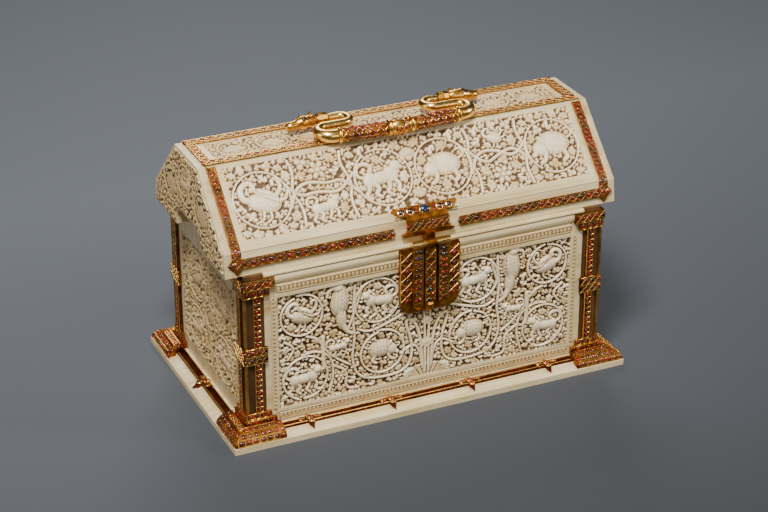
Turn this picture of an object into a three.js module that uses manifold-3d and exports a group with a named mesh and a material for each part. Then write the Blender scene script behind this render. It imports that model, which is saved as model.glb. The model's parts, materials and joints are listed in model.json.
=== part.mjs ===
// A carved ivory casket: a box on a moulded plinth under a hipped lid, with gilt and
// jewelled mounts, a swinging handle, a hasp over a lock plate and two hinges behind.
// Millimetres, +Z up, +X to the right along the front, the front towards -Y.
// The origin is the centre of the plinth's underside.

import * as THREE from 'three';
import { mergeVertices } from 'three/addons/utils/BufferGeometryUtils.js';
import Module from 'manifold-3d';

const wasm = await Module();
wasm.setup();

// Driving dimensions

const gap = 0.3; // clearance between pieces that touch

const plinthLength = 300;
const plinthDepth = 174;
const plinthEdge = 4.2; // upright outer edge
const plinthBevel = 1.6; // width of the small slope over that edge
const plinthCove = 7; // from the outer edge to the foot of the raised flat
const plinthFlat = 7.4; // height of the flat that carries the rails
const plinthHeight = 9; // height of the flat that carries the body
const ledgeWidth = 14.8; // from the outer edge to the gilt corners of the body

const bodyHeight = 114.4;
const postSize = 13.4;
const panelThickness = 8;
const giltThickness = 0.9;
const fieldDepth = 2; // the carved grounds lie this far behind their borders
const frontBorder = 9.4; // plain border beside the front and back fields
const endBorder = 5;
const fieldRise = 9.4; // from the foot of a wall to its field
const fieldDrop = 19.4; // from the top of a wall to its field
const beadHeight = 2.7; // half-round moulding along the wall's top
const torusHeight = 5.6; // larger half-round below it
const mouldingBulge = 1.3;
const filletWidth = 2.2;
const filletHeight = 0.6;

const lidOverhang = 12; // past the end posts
const lidSetback = 2; // behind the front posts
const skirtHeight = 16.5;
const skirtBatter = 2.3;
const lidHeight = 60.3; // from the lid's lower edge to its flat top
const lidTopDepth = 44.6;
const lidBoard = 7; // thickness of the lid's boards
const endBoard = 5.4; // thickness of the lid's end boards
const endWall = 13; // what stands behind an end board, over the body's end panel
const notchWidth = 48; // arched notch in each end board's lower edge
const notchHeight = 13.5;
const notchDepth = 11;
const lidSideBorder = 11; // from the end board to the lid's carved field
const slopeFoot = 7; // plain band below the slope's field
const slopeHead = 3;

const stripWidth = 6.8; // jewelled strips of the lid
const stripThickness = 1;
const stripInset = 5.4; // from the lid's end to the slope strips
const eaveStripRise = 5.1; // from the lid's lower edge to the eave strips
const eaveTip = 2.4; // from the lid's end to the eave strip's tip
const hangingTip = 4; // how far the eave strip's drop hangs below it
const ridgeInset = 0.6; // from the top's long edge to the ridge strip

const cornerWidth = 1.8; // gilt angle on the posts' outer corners
const capitalHeight = 7.2;
const capitalReach = 22.2; // along each face from the corner
const capitalDrop = 2.7; // below the wall's top
const neckHeight = 5.8; // lower and shorter row of the capital
const neckReach = 18.5;
const footHeight = 6; // lower row of the foot
const footReach = 21.7;
const ankleHeight = 4.8; // upper row of the foot
const ankleReach = 18.2;
const capitalThickness = 1.9;
const neckThickness = 1.4;
const postStripWidth = 5.4;
const postStripInset = 6.8; // from the gilt corner to the post strip
const bandHeight = 12;
const bandMiddle = 63.7; // height of the band's middle above the underside
const bandReach = 16.2;
const studHeight = 0.9;

const mountLength = 38; // plinth corner mount along each side
const mountInset = 0.5; // from the plinth's outer edge
const mountHeight = 3.4; // over the flat that carries the body

const railWidth = 6.4;
const railHeight = 1.8;
const clipSpacing = 61;
const clipWidth = 17;
const clipTip = 6.2; // how far the clip's point reaches out past the rail
const clipThickness = 2.2;

const lockWidth = 44.8;
const lockHeight = 48;
const lockDrop = 3.4; // from the wall's top to the lock plate's top
const lockThickness = 1.5;
const lockRimWidth = 9.4; // width of the plate's raised side bars
const lockBridge = 5; // height of the bar that joins them at the foot
const lockRimHeight = 1.2;
const lockCorner = 9;
const middleStripWidth = 8;
const middleStripHeight = 1.9;
const knobRadius = 3.4;

const barrelRadius = 2.3;
const pinRadius = 0.9;
const barrelLength = 28.6;
const barrelRise = 0.9; // from the wall's top up to the hasp's axis
const barrelStandoff = 4.2; // from the wall's face to the hasp's axis
const tongueWidth = 7.8;
const tongueLength = 49;
const tongueThickness = 1.6;
const tongueSpacing = 19.4;
const haspBarWidth = 49;
const haspBarHeight = 8;
const haspPlateWidth = 31;
const haspThickness = 1.7;
const haspFlareWidth = 39.6;
const haspFlareHeight = 2.8;

const hingeSpacing = 170;
const hingeWidth = 18;
const hingeLeaf = 24; // height of the lower leaf on the back wall
const hingeUpperLeaf = 12;
const hingeThickness = 1.3;
const hingeRadius = 2.3;
const hingePin = 0.9;

const pivotSpacing = 92; // between the handle's two eyelets
const pivotSetback = 4; // behind the lid's middle
const pivotHeight = 8; // above the lid's top
const pivotRadius = 2.5;
const eyeletWidth = 8;
const eyeletRadius = 5;
const eyeletHole = 3.3;
const barReach = 29.5; // from the pivots forward to the handle's bar
const barRadius = 4.7;
const barBow = 2.6; // how far the bar's middle stands forward of its ends
const knotRadius = 5.9;
const knotWidth = 14;
const collarRadius = 5.7;
const collarWidth = 2.4;
const armSetback = 13; // from the pivots forward to the smooth arms
const armRadius = 3.1;
const outerBend = 49.5; // where the bar's ends turn back
const innerBend = 35; // where the smooth arms turn back again
const headLength = 22;
const headRadius = 5.3;

// Sizes that follow

const plinthHalfX = plinthLength / 2;
const plinthHalfY = plinthDepth / 2;
const giltX = plinthHalfX - ledgeWidth;
const giltY = plinthHalfY - ledgeWidth;
const faceX = giltX - giltThickness - gap;
const faceY = giltY - giltThickness - gap;
const postInnerX = faceX - postSize;
const postInnerY = faceY - postSize;
const wallBottom = plinthHeight + gap;
const wallTop = plinthHeight + bodyHeight;
const fieldBottom = wallBottom + fieldRise;
const fieldTop = wallTop - fieldDrop;
const frontFieldHalf = postInnerX - gap - frontBorder;
const endFieldHalf = postInnerY - gap - endBorder;

const lidBottom = wallTop + gap;
const lidTop = lidBottom + lidHeight;
const lidHalfX = faceX + lidOverhang;
const lidHalfY = faceY - lidSetback;
const eaveY = lidHalfY - skirtBatter;
const eaveZ = lidBottom + skirtHeight;
const topHalfY = lidTopDepth / 2;
const boardHalfX = lidHalfX - endBoard - gap;
const slopeLength = Math.hypot(eaveY - topHalfY, lidTop - eaveZ);
const skirtLength = Math.hypot(skirtBatter, skirtHeight);
const lidFieldHalf = boardHalfX - lidSideBorder;

const frameZ = gap; // mounts stand this far off the face they lie on
const barY = pivotSetback - barReach;
const barEndY = barY + barBow;
const armY = pivotSetback - armSetback;
const pivotZ = lidTop + pivotHeight;
const ridgeEdgeY = topHalfY - ridgeInset;
const barZ = restHeight();
const hingeY = faceY + gap + hingeThickness + hingeRadius;
const hingeZ = lidBottom;
const barrelHeight = wallTop + barrelRise;
const lockTop = wallTop - lockDrop;
const lockBottom = lockTop - lockHeight;

// The handle lies with its knot just over the ridge strip's front edge.
function restHeight() {
  const across = Math.abs(barY) - ridgeEdgeY;
  const reach = knotRadius + gap;
  return lidTop + gap + stripThickness + Math.sqrt(Math.max(reach * reach - across * across, 0));
}

// Materials

const ivory = () => new THREE.MeshStandardMaterial({ color: 0xe6d9bd, roughness: 0.55, metalness: 0 });
const horn = () => new THREE.MeshStandardMaterial({ color: 0x4a3a2a, roughness: 0.45, metalness: 0 });
const gilt = () => new THREE.MeshStandardMaterial({ color: 0xb4762a, roughness: 0.35, metalness: 1 });
const jewelled = () => new THREE.MeshStandardMaterial({ color: 0x8a3a22, roughness: 0.3, metalness: 0.8 });

// Solids

function withoutSlivers(index) {
  const kept = [];
  for (let i = 0; i < index.length; i += 3) {
    const [a, b, c] = [index[i], index[i + 1], index[i + 2]];
    if (a !== b && b !== c && c !== a) {
      kept.push(a, b, c);
    }
  }
  return Uint32Array.from(kept);
}

function solid(geometry) {
  const bare = geometry.clone();
  bare.deleteAttribute('normal');
  bare.deleteAttribute('uv');
  const merged = mergeVertices(bare, 1e-4);
  const vertProperties = Float32Array.from(merged.attributes.position.array);
  const triVerts = withoutSlivers(merged.index.array);
  return new wasm.Manifold(new wasm.Mesh({ numProp: 3, vertProperties, triVerts }));
}

function geometryOf(shape) {
  const mesh = shape.getMesh();
  const geometry = new THREE.BufferGeometry();
  geometry.setAttribute('position', new THREE.BufferAttribute(mesh.vertProperties, 3));
  geometry.setIndex(new THREE.BufferAttribute(mesh.triVerts, 1));
  return geometry;
}

function join(shapes) {
  return shapes.reduce((whole, shape) => whole.add(shape));
}

function moved(geometry, x, y, z) {
  return geometry.translate(x, y, z);
}

function block(x0, x1, y0, y1, z0, z1) {
  const geometry = new THREE.BoxGeometry(x1 - x0, y1 - y0, z1 - z0);
  return solid(moved(geometry, (x0 + x1) / 2, (y0 + y1) / 2, (z0 + z1) / 2));
}

function outlineOf(points) {
  return new THREE.Shape(points.map(([x, y]) => new THREE.Vector2(x, y)));
}

// An outline in x and y, raised from z0 to z1.
function plate(points, z0, z1) {
  const geometry = new THREE.ExtrudeGeometry(outlineOf(points), { depth: z1 - z0, bevelEnabled: false });
  return solid(moved(geometry, 0, 0, z0));
}

// A section in y and z, run along x.
function run(points, x0, x1) {
  const geometry = new THREE.ExtrudeGeometry(outlineOf(points), { depth: x1 - x0, bevelEnabled: false });
  const turn = new THREE.Matrix4().makeBasis(
    new THREE.Vector3(0, 1, 0), new THREE.Vector3(0, 0, 1), new THREE.Vector3(1, 0, 0));
  return solid(moved(geometry.applyMatrix4(turn), x0, 0, 0));
}

// A section in radius and x, turned about the x axis.
function turned(profile, sides) {
  const points = profile.map(([radius, along]) => new THREE.Vector2(radius, along));
  const geometry = new THREE.LatheGeometry([...points, points[0]], sides);
  return geometry.rotateZ(-Math.PI / 2);
}

function rod(radius, x0, x1, y, z, sides) {
  const geometry = new THREE.CylinderGeometry(radius, radius, x1 - x0, sides);
  return solid(moved(geometry.rotateZ(Math.PI / 2), (x0 + x1) / 2, y, z));
}

function ringFaces(count, sides) {
  const faces = [];
  for (let i = 0; i < count - 1; i += 1) {
    for (let k = 0; k < sides; k += 1) {
      const a = i * sides + k;
      const b = i * sides + (k + 1) % sides;
      faces.push(a, b, b + sides, a, b + sides, a + sides);
    }
  }
  return faces;
}

// Skin over a row of rings with equally many points, closed by a flat cap at each end.
function loft(rings) {
  const sides = rings[0].length;
  const faces = ringFaces(rings.length, sides);
  const flat = new THREE.Matrix4();
  const section = capOutline(rings[0], flat);
  const last = (rings.length - 1) * sides;
  for (const [a, b, c] of THREE.ShapeUtils.triangulateShape(section, [])) {
    faces.push(a, c, b, a + last, b + last, c + last);
  }
  const geometry = new THREE.BufferGeometry();
  const positions = rings.flat().flatMap((point) => point.toArray());
  geometry.setAttribute('position', new THREE.Float32BufferAttribute(positions, 3));
  geometry.setIndex(faces);
  return outward(geometry);
}

// The first ring seen flat, for cutting its cap into triangles.
function capOutline(ring, flat) {
  const across = ring[1].clone().sub(ring[0]).normalize();
  const normal = new THREE.Vector3();
  ring.forEach((point, i) => {
    normal.add(point.clone().sub(ring[0]).cross(ring[(i + 1) % ring.length].clone().sub(ring[0])));
  });
  normal.normalize();
  flat.makeBasis(across, normal.clone().cross(across), normal).invert();
  return ring.map((point) => {
    const local = point.clone().applyMatrix4(flat);
    return new THREE.Vector2(local.x, local.y);
  });
}

function volumeOf(geometry) {
  const at = geometry.attributes.position;
  const index = geometry.index.array;
  const [a, b, c] = [new THREE.Vector3(), new THREE.Vector3(), new THREE.Vector3()];
  let volume = 0;
  for (let i = 0; i < index.length; i += 3) {
    a.fromBufferAttribute(at, index[i]);
    b.fromBufferAttribute(at, index[i + 1]);
    c.fromBufferAttribute(at, index[i + 2]);
    volume += a.dot(b.cross(c)) / 6;
  }
  return volume;
}

function outward(geometry) {
  if (volumeOf(geometry) < 0) {
    geometry.index.array.reverse();
  }
  return geometry;
}

function mirrored(geometry) {
  const copy = geometry.clone().scale(-1, 1, 1);
  copy.index.array.reverse();
  return copy;
}

function arc(cx, cy, radius, from, to, steps) {
  const points = [];
  for (let i = 0; i <= steps; i += 1) {
    const angle = from + (to - from) * i / steps;
    points.push([cx + radius * Math.cos(angle), cy + radius * Math.sin(angle)]);
  }
  return points;
}

// Placing

const casket = new THREE.Group();

function face(x, y, z, across, up) {
  const group = new THREE.Group();
  const a = new THREE.Vector3(...across).normalize();
  const b = new THREE.Vector3(...up).normalize();
  const turn = new THREE.Matrix4().makeBasis(a, b, a.clone().cross(b));
  group.quaternion.setFromRotationMatrix(turn);
  group.position.set(x, y, z);
  casket.add(group);
  return group;
}

function put(name, shape, material, parent = casket) {
  const mesh = new THREE.Mesh(shape.isBufferGeometry ? shape : geometryOf(shape), material);
  mesh.name = name;
  parent.add(mesh);
  return mesh;
}

// Faces seen square on: x across, y up the face, z outwards.
const slopeUp = [eaveY - topHalfY, lidTop - eaveZ];
const faces = {
  front: face(0, -faceY, 0, [1, 0, 0], [0, 0, 1]),
  back: face(0, faceY, 0, [-1, 0, 0], [0, 0, 1]),
  left: face(-faceX, 0, 0, [0, -1, 0], [0, 0, 1]),
  right: face(faceX, 0, 0, [0, 1, 0], [0, 0, 1]),
  frontSkirt: face(0, -lidHalfY, lidBottom, [1, 0, 0], [0, skirtBatter, skirtHeight]),
  backSkirt: face(0, lidHalfY, lidBottom, [-1, 0, 0], [0, -skirtBatter, skirtHeight]),
  frontSlope: face(0, -eaveY, eaveZ, [1, 0, 0], [0, slopeUp[0], slopeUp[1]]),
  backSlope: face(0, eaveY, eaveZ, [-1, 0, 0], [0, -slopeUp[0], slopeUp[1]]),
  top: face(0, 0, lidTop, [1, 0, 0], [0, 1, 0]),
  leftEnd: face(-lidHalfX, 0, lidBottom, [0, -1, 0], [0, 0, 1]),
  rightEnd: face(lidHalfX, 0, lidBottom, [0, 1, 0], [0, 0, 1]),
};

// Relief carving, on a ground at z = 0

const sunk = 0.4; // how deep the carving's foot reaches into its ground
const figureHeight = 1.7;
const vineHeight = 1.2;
const vineWidth = 2.2;
const leafHeight = 1.3;

function swell(x, y, along, across, height, angle = 0, sides = 6, bands = 4) {
  const geometry = new THREE.SphereGeometry(1, sides, bands).rotateX(Math.PI / 2);
  geometry.scale(along, across, height).rotateZ(angle);
  return solid(moved(geometry, x, y, 0));
}

function stemRing(point, side, width, height) {
  return [
    new THREE.Vector3(point.x - side.x * width / 2, point.y - side.y * width / 2, -sunk),
    new THREE.Vector3(point.x + side.x * width / 2, point.y + side.y * width / 2, -sunk),
    new THREE.Vector3(point.x, point.y, height),
  ];
}

// A ridged stem through the given points.
function stem(points, width = vineWidth, height = vineHeight) {
  const path = points.map(([x, y]) => new THREE.Vector2(x, y));
  const rings = path.map((point, i) => {
    const ahead = path[Math.min(i + 1, path.length - 1)];
    const behind = path[Math.max(i - 1, 0)];
    const way = ahead.clone().sub(behind).normalize();
    return stemRing(point, new THREE.Vector2(-way.y, way.x), width, height);
  });
  return solid(loft(rings));
}

function vineRing(x, y, radius) {
  const inner = radius - vineWidth / 2;
  const outer = radius + vineWidth / 2;
  const profile = [[inner, -sunk], [radius, vineHeight], [outer, -sunk], [inner, -sunk]];
  const points = profile.map(([r, h]) => new THREE.Vector2(r, h));
  const geometry = new THREE.LatheGeometry(points, 11).rotateX(Math.PI / 2);
  geometry.index.array.reverse();
  return solid(moved(outward(geometry), x, y, 0));
}

// A leaf that points away from a middle, and starts clear of it.
function leaf(x, y, size, angle) {
  const reach = size * 0.38;
  const middle = size - reach;
  const [cx, cy] = [x + middle * Math.cos(angle), y + middle * Math.sin(angle)];
  return swell(cx, cy, reach, reach * 0.6, leafHeight, angle, 4, 2);
}

function sprig(x, y, size, petals, turn = 0) {
  const parts = [swell(x, y, size * 0.2, size * 0.2, figureHeight, 0, 4, 2)];
  for (let i = 0; i < petals; i += 1) {
    parts.push(leaf(x, y, size, turn + 2 * Math.PI * i / petals));
  }
  return parts;
}

// A four-footed beast walking towards +x, or towards -x where way is -1.
function beast(x, y, size, way) {
  const at = (u, v) => [x + way * size * u, y + size * v];
  const limb = (u, foot) => stem([at(u, -0.2), at(foot, -0.56)], size * 0.17, figureHeight * 0.7);
  return [
    swell(...at(0, 0), size * 0.58, size * 0.27, figureHeight * 1.1, way * 0.1, 6, 2),
    swell(...at(0.62, 0.42), size * 0.3, size * 0.18, figureHeight, -way * 0.4, 4, 2),
    limb(0.4, 0.5),
    limb(0.16, 0.14),
    limb(-0.16, -0.2),
    limb(-0.4, -0.52),
    stem([at(-0.52, 0.1), at(-0.74, 0.46)], size * 0.12, vineHeight),
  ];
}

// A bird with a raised neck and a hanging tail, facing +x, or -x where way is -1.
function bird(x, y, size, way) {
  const at = (u, v) => [x + way * size * u, y + size * v];
  return [
    swell(...at(0, 0), size * 0.44, size * 0.26, figureHeight, way * 0.5, 6, 2),
    swell(...at(0.46, 0.58), size * 0.22, size * 0.13, figureHeight, 0, 4, 2),
    stem([at(0.28, 0.16), at(0.46, 0.3), at(0.36, 0.54)], size * 0.18, figureHeight * 0.9),
    stem([at(-0.3, -0.16), at(-0.52, -0.3), at(-0.5, -0.62)], size * 0.2, vineHeight * 1.1),
    stem([at(0.02, -0.22), at(0.08, -0.58)], size * 0.12, vineHeight),
  ];
}

const turnAbout = 2 * Math.PI;
const frontRings = [
  { x: 93.5, y: 86, radius: 15.5, figure: bird, size: 18, way: 1 },
  { x: 91, y: 37.5, radius: 16.5, figure: beast, size: 17.5, way: -1 },
  { x: 37.5, y: 85, radius: 17, figure: beast, size: 18, way: 1 },
  { x: 34, y: 45, radius: 17, figure: beast, size: 18, way: -1 },
];
const slopeRings = [
  { x: -108.5, y: 33, radius: 20, figure: bird, size: 25, way: 1 },
  { x: -20.5, y: 32, radius: 21, figure: beast, size: 23, way: 1 },
  { x: 24.5, y: 32, radius: 21, figure: beast, size: 23, way: -1 },
  { x: 109, y: 33, radius: 20.5, figure: beast, size: 23, way: -1 },
];

function roundel(ring, mirror) {
  const x = mirror * ring.x;
  return [vineRing(x, ring.y, ring.radius), ...ring.figure(x, ring.y, ring.size, mirror * ring.way)];
}

function frontCarving() {
  const parts = [];
  for (const side of [-1, 1]) {
    parts.push(...frontRings.flatMap((ring) => roundel(ring, side)));
    parts.push(...bird(side * 65, 76, 26, side));
    parts.push(stem([[side * 78, 52], [side * 77, 98]], 1.8));
    parts.push(...sprig(side * 62, 51, 7, 5));
    parts.push(...sprig(side * 62.5, 27, 8, 5, 0.4));
    parts.push(...sprig(side * 105, 61, 5, 4, 0.8));
    parts.push(...sprig(side * 11, 64, 7, 4, 0.5));
    parts.push(stem([[side * 3, 25], [side * 20, 34]]));
    parts.push(stem([[side * 50.5, 40], [side * 75, 39]]));
  }
  parts.push(stem([[0, 20], [0, 68]], 3));
  parts.push(stem([[-14, 19.5], [0, 25], [14, 19.5]], 7, figureHeight));
  return parts;
}

function slopeCarving() {
  const parts = slopeRings.flatMap((ring) => roundel(ring, 1));
  for (const [x, way] of [[-64.5, 1], [67.5, -1]]) {
    parts.push(...sprig(x, 44, 11, 6));
    parts.push(...beast(x, 20, 14, way));
    parts.push(stem([[x - 20, 31], [x + 20, 31]]));
  }
  parts.push(...sprig(2, 51, 7, 5, turnAbout / 4));
  for (const x of [-86, -43, 46, 88]) {
    parts.push(...sprig(x, 53, 6, 4, 0.6));
  }
  return parts;
}

// Plainer carving for the hidden sides: rings with a sprig in each, a leaf between.
function plainCarving(half, bottom, top, count) {
  const radius = Math.min((top - bottom) / 2 - 2, half / count - 2);
  const middle = (top + bottom) / 2;
  const parts = [];
  for (let i = 0; i < count; i += 1) {
    const x = -half + half * (2 * i + 1) / count;
    parts.push(vineRing(x, middle, radius), ...sprig(x, middle, radius * 0.8, 5));
  }
  return parts;
}

// Walls

function halfRound(y0, y1, half) {
  const radius = (y1 - y0) / 2;
  const curve = arc(0, (y0 + y1) / 2, radius, -Math.PI / 2, Math.PI / 2, 4);
  const section = curve.map(([out, up]) => [up, out * mouldingBulge / radius]);
  return run([[y0, -0.5], ...section, [y1, -0.5]], -half, half);
}

function fieldFrame(half, bottom, top) {
  const outer = block(-half - filletWidth, half + filletWidth, bottom - filletWidth, top + filletWidth, -1, filletHeight);
  return outer.subtract(block(-half, half, bottom, top, -2, 2));
}

function carvedBoard(board, half, bottom, top, carving) {
  const ground = board.subtract(block(-half, half, bottom, top, -fieldDepth, 5));
  const relief = join(carving).translate(0, 0, -fieldDepth);
  const bounds = block(-half, half, bottom, top, -fieldDepth - 1, 5);
  return ground.add(relief.intersect(bounds));
}

function wallPanel(half, border, carving) {
  const slab = block(-half, half, wallBottom, wallTop, -panelThickness, 0);
  return carvedBoard(slab, half - border, fieldBottom, fieldTop, carving);
}

function longWall(carving) {
  const half = postInnerX - gap;
  const reach = giltX - capitalReach - gap;
  const bead = halfRound(wallTop - beadHeight, wallTop, half);
  const torus = halfRound(wallTop - beadHeight - torusHeight, wallTop - beadHeight, reach);
  const panel = wallPanel(half, frontBorder, carving);
  return join([panel, bead, torus, fieldFrame(frontFieldHalf, fieldBottom, fieldTop)]);
}

// Room in the mouldings for a plate that lies on the wall's face.
function seat(x, width, bottom, top) {
  const half = width / 2 + gap;
  return block(x - half, x + half, bottom - gap, top, 0, 5);
}

function frontWall() {
  const cut = seat(0, lockWidth, lockBottom, lockTop + gap);
  return longWall(frontCarving()).subtract(cut);
}

function backWall() {
  const top = wallTop + 1;
  const cuts = [-1, 1].map((side) => seat(side * hingeSpacing / 2, hingeWidth, top - hingeLeaf - 4, top));
  const carving = plainCarving(frontFieldHalf, fieldBottom, fieldTop, 3);
  return longWall(carving).subtract(join(cuts));
}

function addWalls() {
  put('front_panel', frontWall(), ivory(), faces.front);
  put('back_panel', backWall(), ivory(), faces.back);
  for (const side of ['left', 'right']) {
    const carving = plainCarving(endFieldHalf, fieldBottom, fieldTop, 1);
    put(`${side}_panel`, wallPanel(postInnerY - gap, endBorder, carving), ivory(), faces[side]);
  }
}

// Plinth

// Inset from the plinth's edge, and height there.
const plinthProfile = [
  [0, 0],
  [0, plinthEdge],
  [plinthBevel, plinthEdge + 1],
  [plinthCove - 1, plinthFlat - 1.4],
  [plinthCove, plinthFlat],
  [ledgeWidth - 1, plinthFlat],
  [ledgeWidth - 0.8, plinthHeight],
];

function plinth() {
  const rings = plinthProfile.map(([inset, z]) => {
    const [x, y] = [plinthHalfX - inset, plinthHalfY - inset];
    return [[-x, -y], [x, -y], [x, y], [-x, y]].map((corner) => new THREE.Vector3(...corner, z));
  });
  return solid(loft(rings));
}

// Posts and their gilt frames

const corners = [
  { name: 'front_left', x: -1, y: -1 },
  { name: 'front_right', x: 1, y: -1 },
  { name: 'back_left', x: -1, y: 1 },
  { name: 'back_right', x: 1, y: 1 },
];

// An angle round a corner: both arms measured along the faces from the gilt corner.
function cornerAngle(z0, z1, reach, thickness) {
  const [x, y] = [faceX + gap, faceY + gap];
  const [outX, outY] = [x + thickness, y + thickness];
  const section = [
    [outX, outY], [giltX - reach, outY], [giltX - reach, y],
    [x, y], [x, giltY - reach], [outX, giltY - reach],
  ];
  return plate(section, z0, z1);
}

// Square stones along both arms of one row of a capital or foot.
function studs(z0, z1, reach, thickness, count) {
  const parts = [];
  const pitch = reach / count;
  const size = Math.min(pitch, z1 - z0) * 0.36;
  for (let i = 0; i < count; i += 1) {
    const along = pitch * (i + 0.5);
    const z = (z0 + z1) / 2;
    const stone = () => new THREE.SphereGeometry(1, 4, 2).rotateX(Math.PI / 2).rotateZ(Math.PI / 4);
    const front = stone().scale(size, size, studHeight).rotateX(-Math.PI / 2);
    const side = stone().scale(size, size, studHeight).rotateY(Math.PI / 2);
    parts.push(solid(moved(front, giltX - along, faceY + gap + thickness, z)));
    parts.push(solid(moved(side, faceX + gap + thickness, giltY - along, z)));
  }
  return parts;
}

function studdedRow(z0, z1, reach, thickness, count) {
  return [cornerAngle(z0, z1, reach, thickness), ...studs(z0, z1, reach, thickness, count)];
}

function cornerFrame() {
  const capTop = wallTop - capitalDrop;
  const capFoot = capTop - capitalHeight;
  const footTop = wallBottom + footHeight;
  return join([
    cornerAngle(wallBottom, capTop, cornerWidth, giltThickness),
    ...studdedRow(capFoot, capTop, capitalReach, capitalThickness, 4),
    cornerAngle(capFoot - neckHeight, capFoot, neckReach, neckThickness),
    cornerAngle(wallBottom, footTop, footReach, capitalThickness),
    cornerAngle(footTop, footTop + ankleHeight, ankleReach, neckThickness),
  ]);
}

// One face's strip, with x counted inwards from the gilt corner and z outwards from the face.
function postStrip() {
  const bottom = wallBottom + footHeight + ankleHeight + gap;
  const top = wallTop - capitalDrop - capitalHeight - neckHeight - gap;
  const start = cornerWidth + gap;
  const strip = block(postStripInset, postStripInset + postStripWidth, bottom, top, frameZ, frameZ + giltThickness);
  const [bandBottom, bandTop] = [bandMiddle - bandHeight / 2, bandMiddle + bandHeight / 2];
  const band = block(start, bandReach, bandBottom, bandTop, frameZ, frameZ + neckThickness);
  return join([strip, band]);
}

function reflected(geometry, x, y) {
  const copy = geometry.clone().scale(x, y, 1);
  if (x * y < 0) {
    copy.index.array.reverse();
  }
  return copy;
}

function addPosts() {
  const frame = geometryOf(cornerFrame());
  const strip = geometryOf(postStrip());
  for (const { name, x, y } of corners) {
    const post = block(postInnerX, faceX, postInnerY, faceY, wallBottom, wallTop);
    put(`${name}_post`, reflected(geometryOf(post), x, y), horn());
    put(`${name}_frame`, reflected(frame, x, y), gilt());
    addPostStrip(`${name}_strip`, strip, y < 0 ? faces.front : faces.back, x * -y, giltX);
    addPostStrip(`${name}_end_strip`, strip, x < 0 ? faces.left : faces.right, x * y, giltY);
  }
}

// The strip is drawn inwards from a corner at the right, so a left one is reflected.
function addPostStrip(name, strip, parent, hand, corner) {
  const placed = strip.clone().scale(-1, 1, 1);
  placed.index.array.reverse();
  const shape = hand > 0 ? placed : mirrored(placed);
  put(name, moved(shape, hand * corner, 0, 0), jewelled(), parent);
}

// Plinth mounts

// The mount's section: how far out from the gilt face, and height.
function mountSection() {
  const under = plinthProfile.slice(1, 6).map(([inset, z]) => [ledgeWidth - inset, z + gap]);
  under[0][0] -= mountInset;
  under[0][1] += mountInset / plinthBevel;
  const inner = capitalThickness - giltThickness + studHeight + gap;
  const top = plinthHeight + mountHeight;
  const wide = under[0][0] - inner;
  const crown = arc(inner, under[0][1], 1, 0, Math.PI / 2, 5).map(([x, y]) => {
    return [inner + (x - inner) * wide, under[0][1] + (y - under[0][1]) * (top - under[0][1])];
  });
  return [[inner, plinthFlat + gap], ...under.slice(1, 4).reverse(), ...crown];
}

// The section swept round a corner, with a mitre where the two sides meet.
function mountSweep(section, armX, armY) {
  const rings = [
    section.map(([out, z]) => new THREE.Vector3(plinthHalfX - armX, giltY + out, z)),
    section.map(([out, z]) => new THREE.Vector3(giltX + out, giltY + out, z)),
    section.map(([out, z]) => new THREE.Vector3(giltX + out, plinthHalfY - armY, z)),
  ];
  return solid(loft(rings));
}

function cornerMount() {
  return mountSweep(mountSection(), mountLength, mountLength);
}

const railSection = [
  [0, 0], [railWidth, 0], [railWidth, railHeight], [railWidth - 0.9, railHeight],
  [railWidth - 1.4, railHeight / 2], [1.4, railHeight / 2], [0.9, railHeight], [0, railHeight],
];

// A clip in plan, its point outwards, round the middle of the rail.
function clipOutline() {
  const [wide, deep] = [clipWidth / 2, railWidth / 2];
  const tip = deep + clipTip;
  return [
    [-wide, 0], [-wide * 0.7, -deep * 0.8], [-wide * 0.35, -deep * 0.5], [0, -tip],
    [wide * 0.35, -deep * 0.5], [wide * 0.7, -deep * 0.8], [wide, 0], [0, deep],
  ];
}

// The clip's thickness across the rail: flat over the rail, then down over the cove.
function clipSection(reach) {
  const edge = -(railWidth / 2 + 0.2);
  const drop = plinthFlat - plinthEdge - 1;
  return [
    [railWidth / 2, 0], [railWidth / 2, clipThickness], [edge, clipThickness + 0.6],
    [-reach, 1.4 - drop], [-reach, gap - drop + 0.2], [edge, 0],
  ];
}

function clip(x) {
  const reach = railWidth / 2 + clipTip;
  const bar = run(clipSection(reach), x - clipWidth / 2, x + clipWidth / 2);
  const plan = plate(clipOutline().map(([u, v]) => [u + x, v]), -8, 8);
  return bar.intersect(plan);
}

// Drawn along x at the origin, with the outer side towards -y.
function rail(half, clipPlaces) {
  const bar = run(railSection.map(([y, z]) => [y - railWidth / 2, z]), -half, half);
  return join([bar, ...clipPlaces.map(clip)]);
}

function addRail(name, half, places, x, y, angle) {
  const mesh = put(name, rail(half, places), gilt());
  mesh.rotation.z = angle;
  mesh.position.set(x, y, plinthFlat + gap);
}

function addPlinth() {
  put('plinth', plinth(), ivory());
  const mount = geometryOf(cornerMount());
  for (const { name, x, y } of corners) {
    put(`${name}_plinth_mount`, reflected(mount, x, y), jewelled());
  }
  const longHalf = plinthHalfX - mountLength - gap;
  const endHalf = plinthHalfY - mountLength - gap;
  const inset = plinthCove + gap + railWidth / 2;
  const places = [-1.5, -0.5, 0.5, 1.5].map((step) => step * clipSpacing);
  addRail('front_rail', longHalf, places, 0, -plinthHalfY + inset, 0);
  addRail('back_rail', longHalf, places, 0, plinthHalfY - inset, Math.PI);
  addRail('left_rail', endHalf, [0], -plinthHalfX + inset, 0, -Math.PI / 2);
  addRail('right_rail', endHalf, [0], plinthHalfX - inset, 0, Math.PI / 2);
}

// Lid

const lidOutline = [
  [-lidHalfY, 0], [-eaveY, skirtHeight], [-topHalfY, lidHeight],
  [topHalfY, lidHeight], [eaveY, skirtHeight], [lidHalfY, 0],
];

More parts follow.
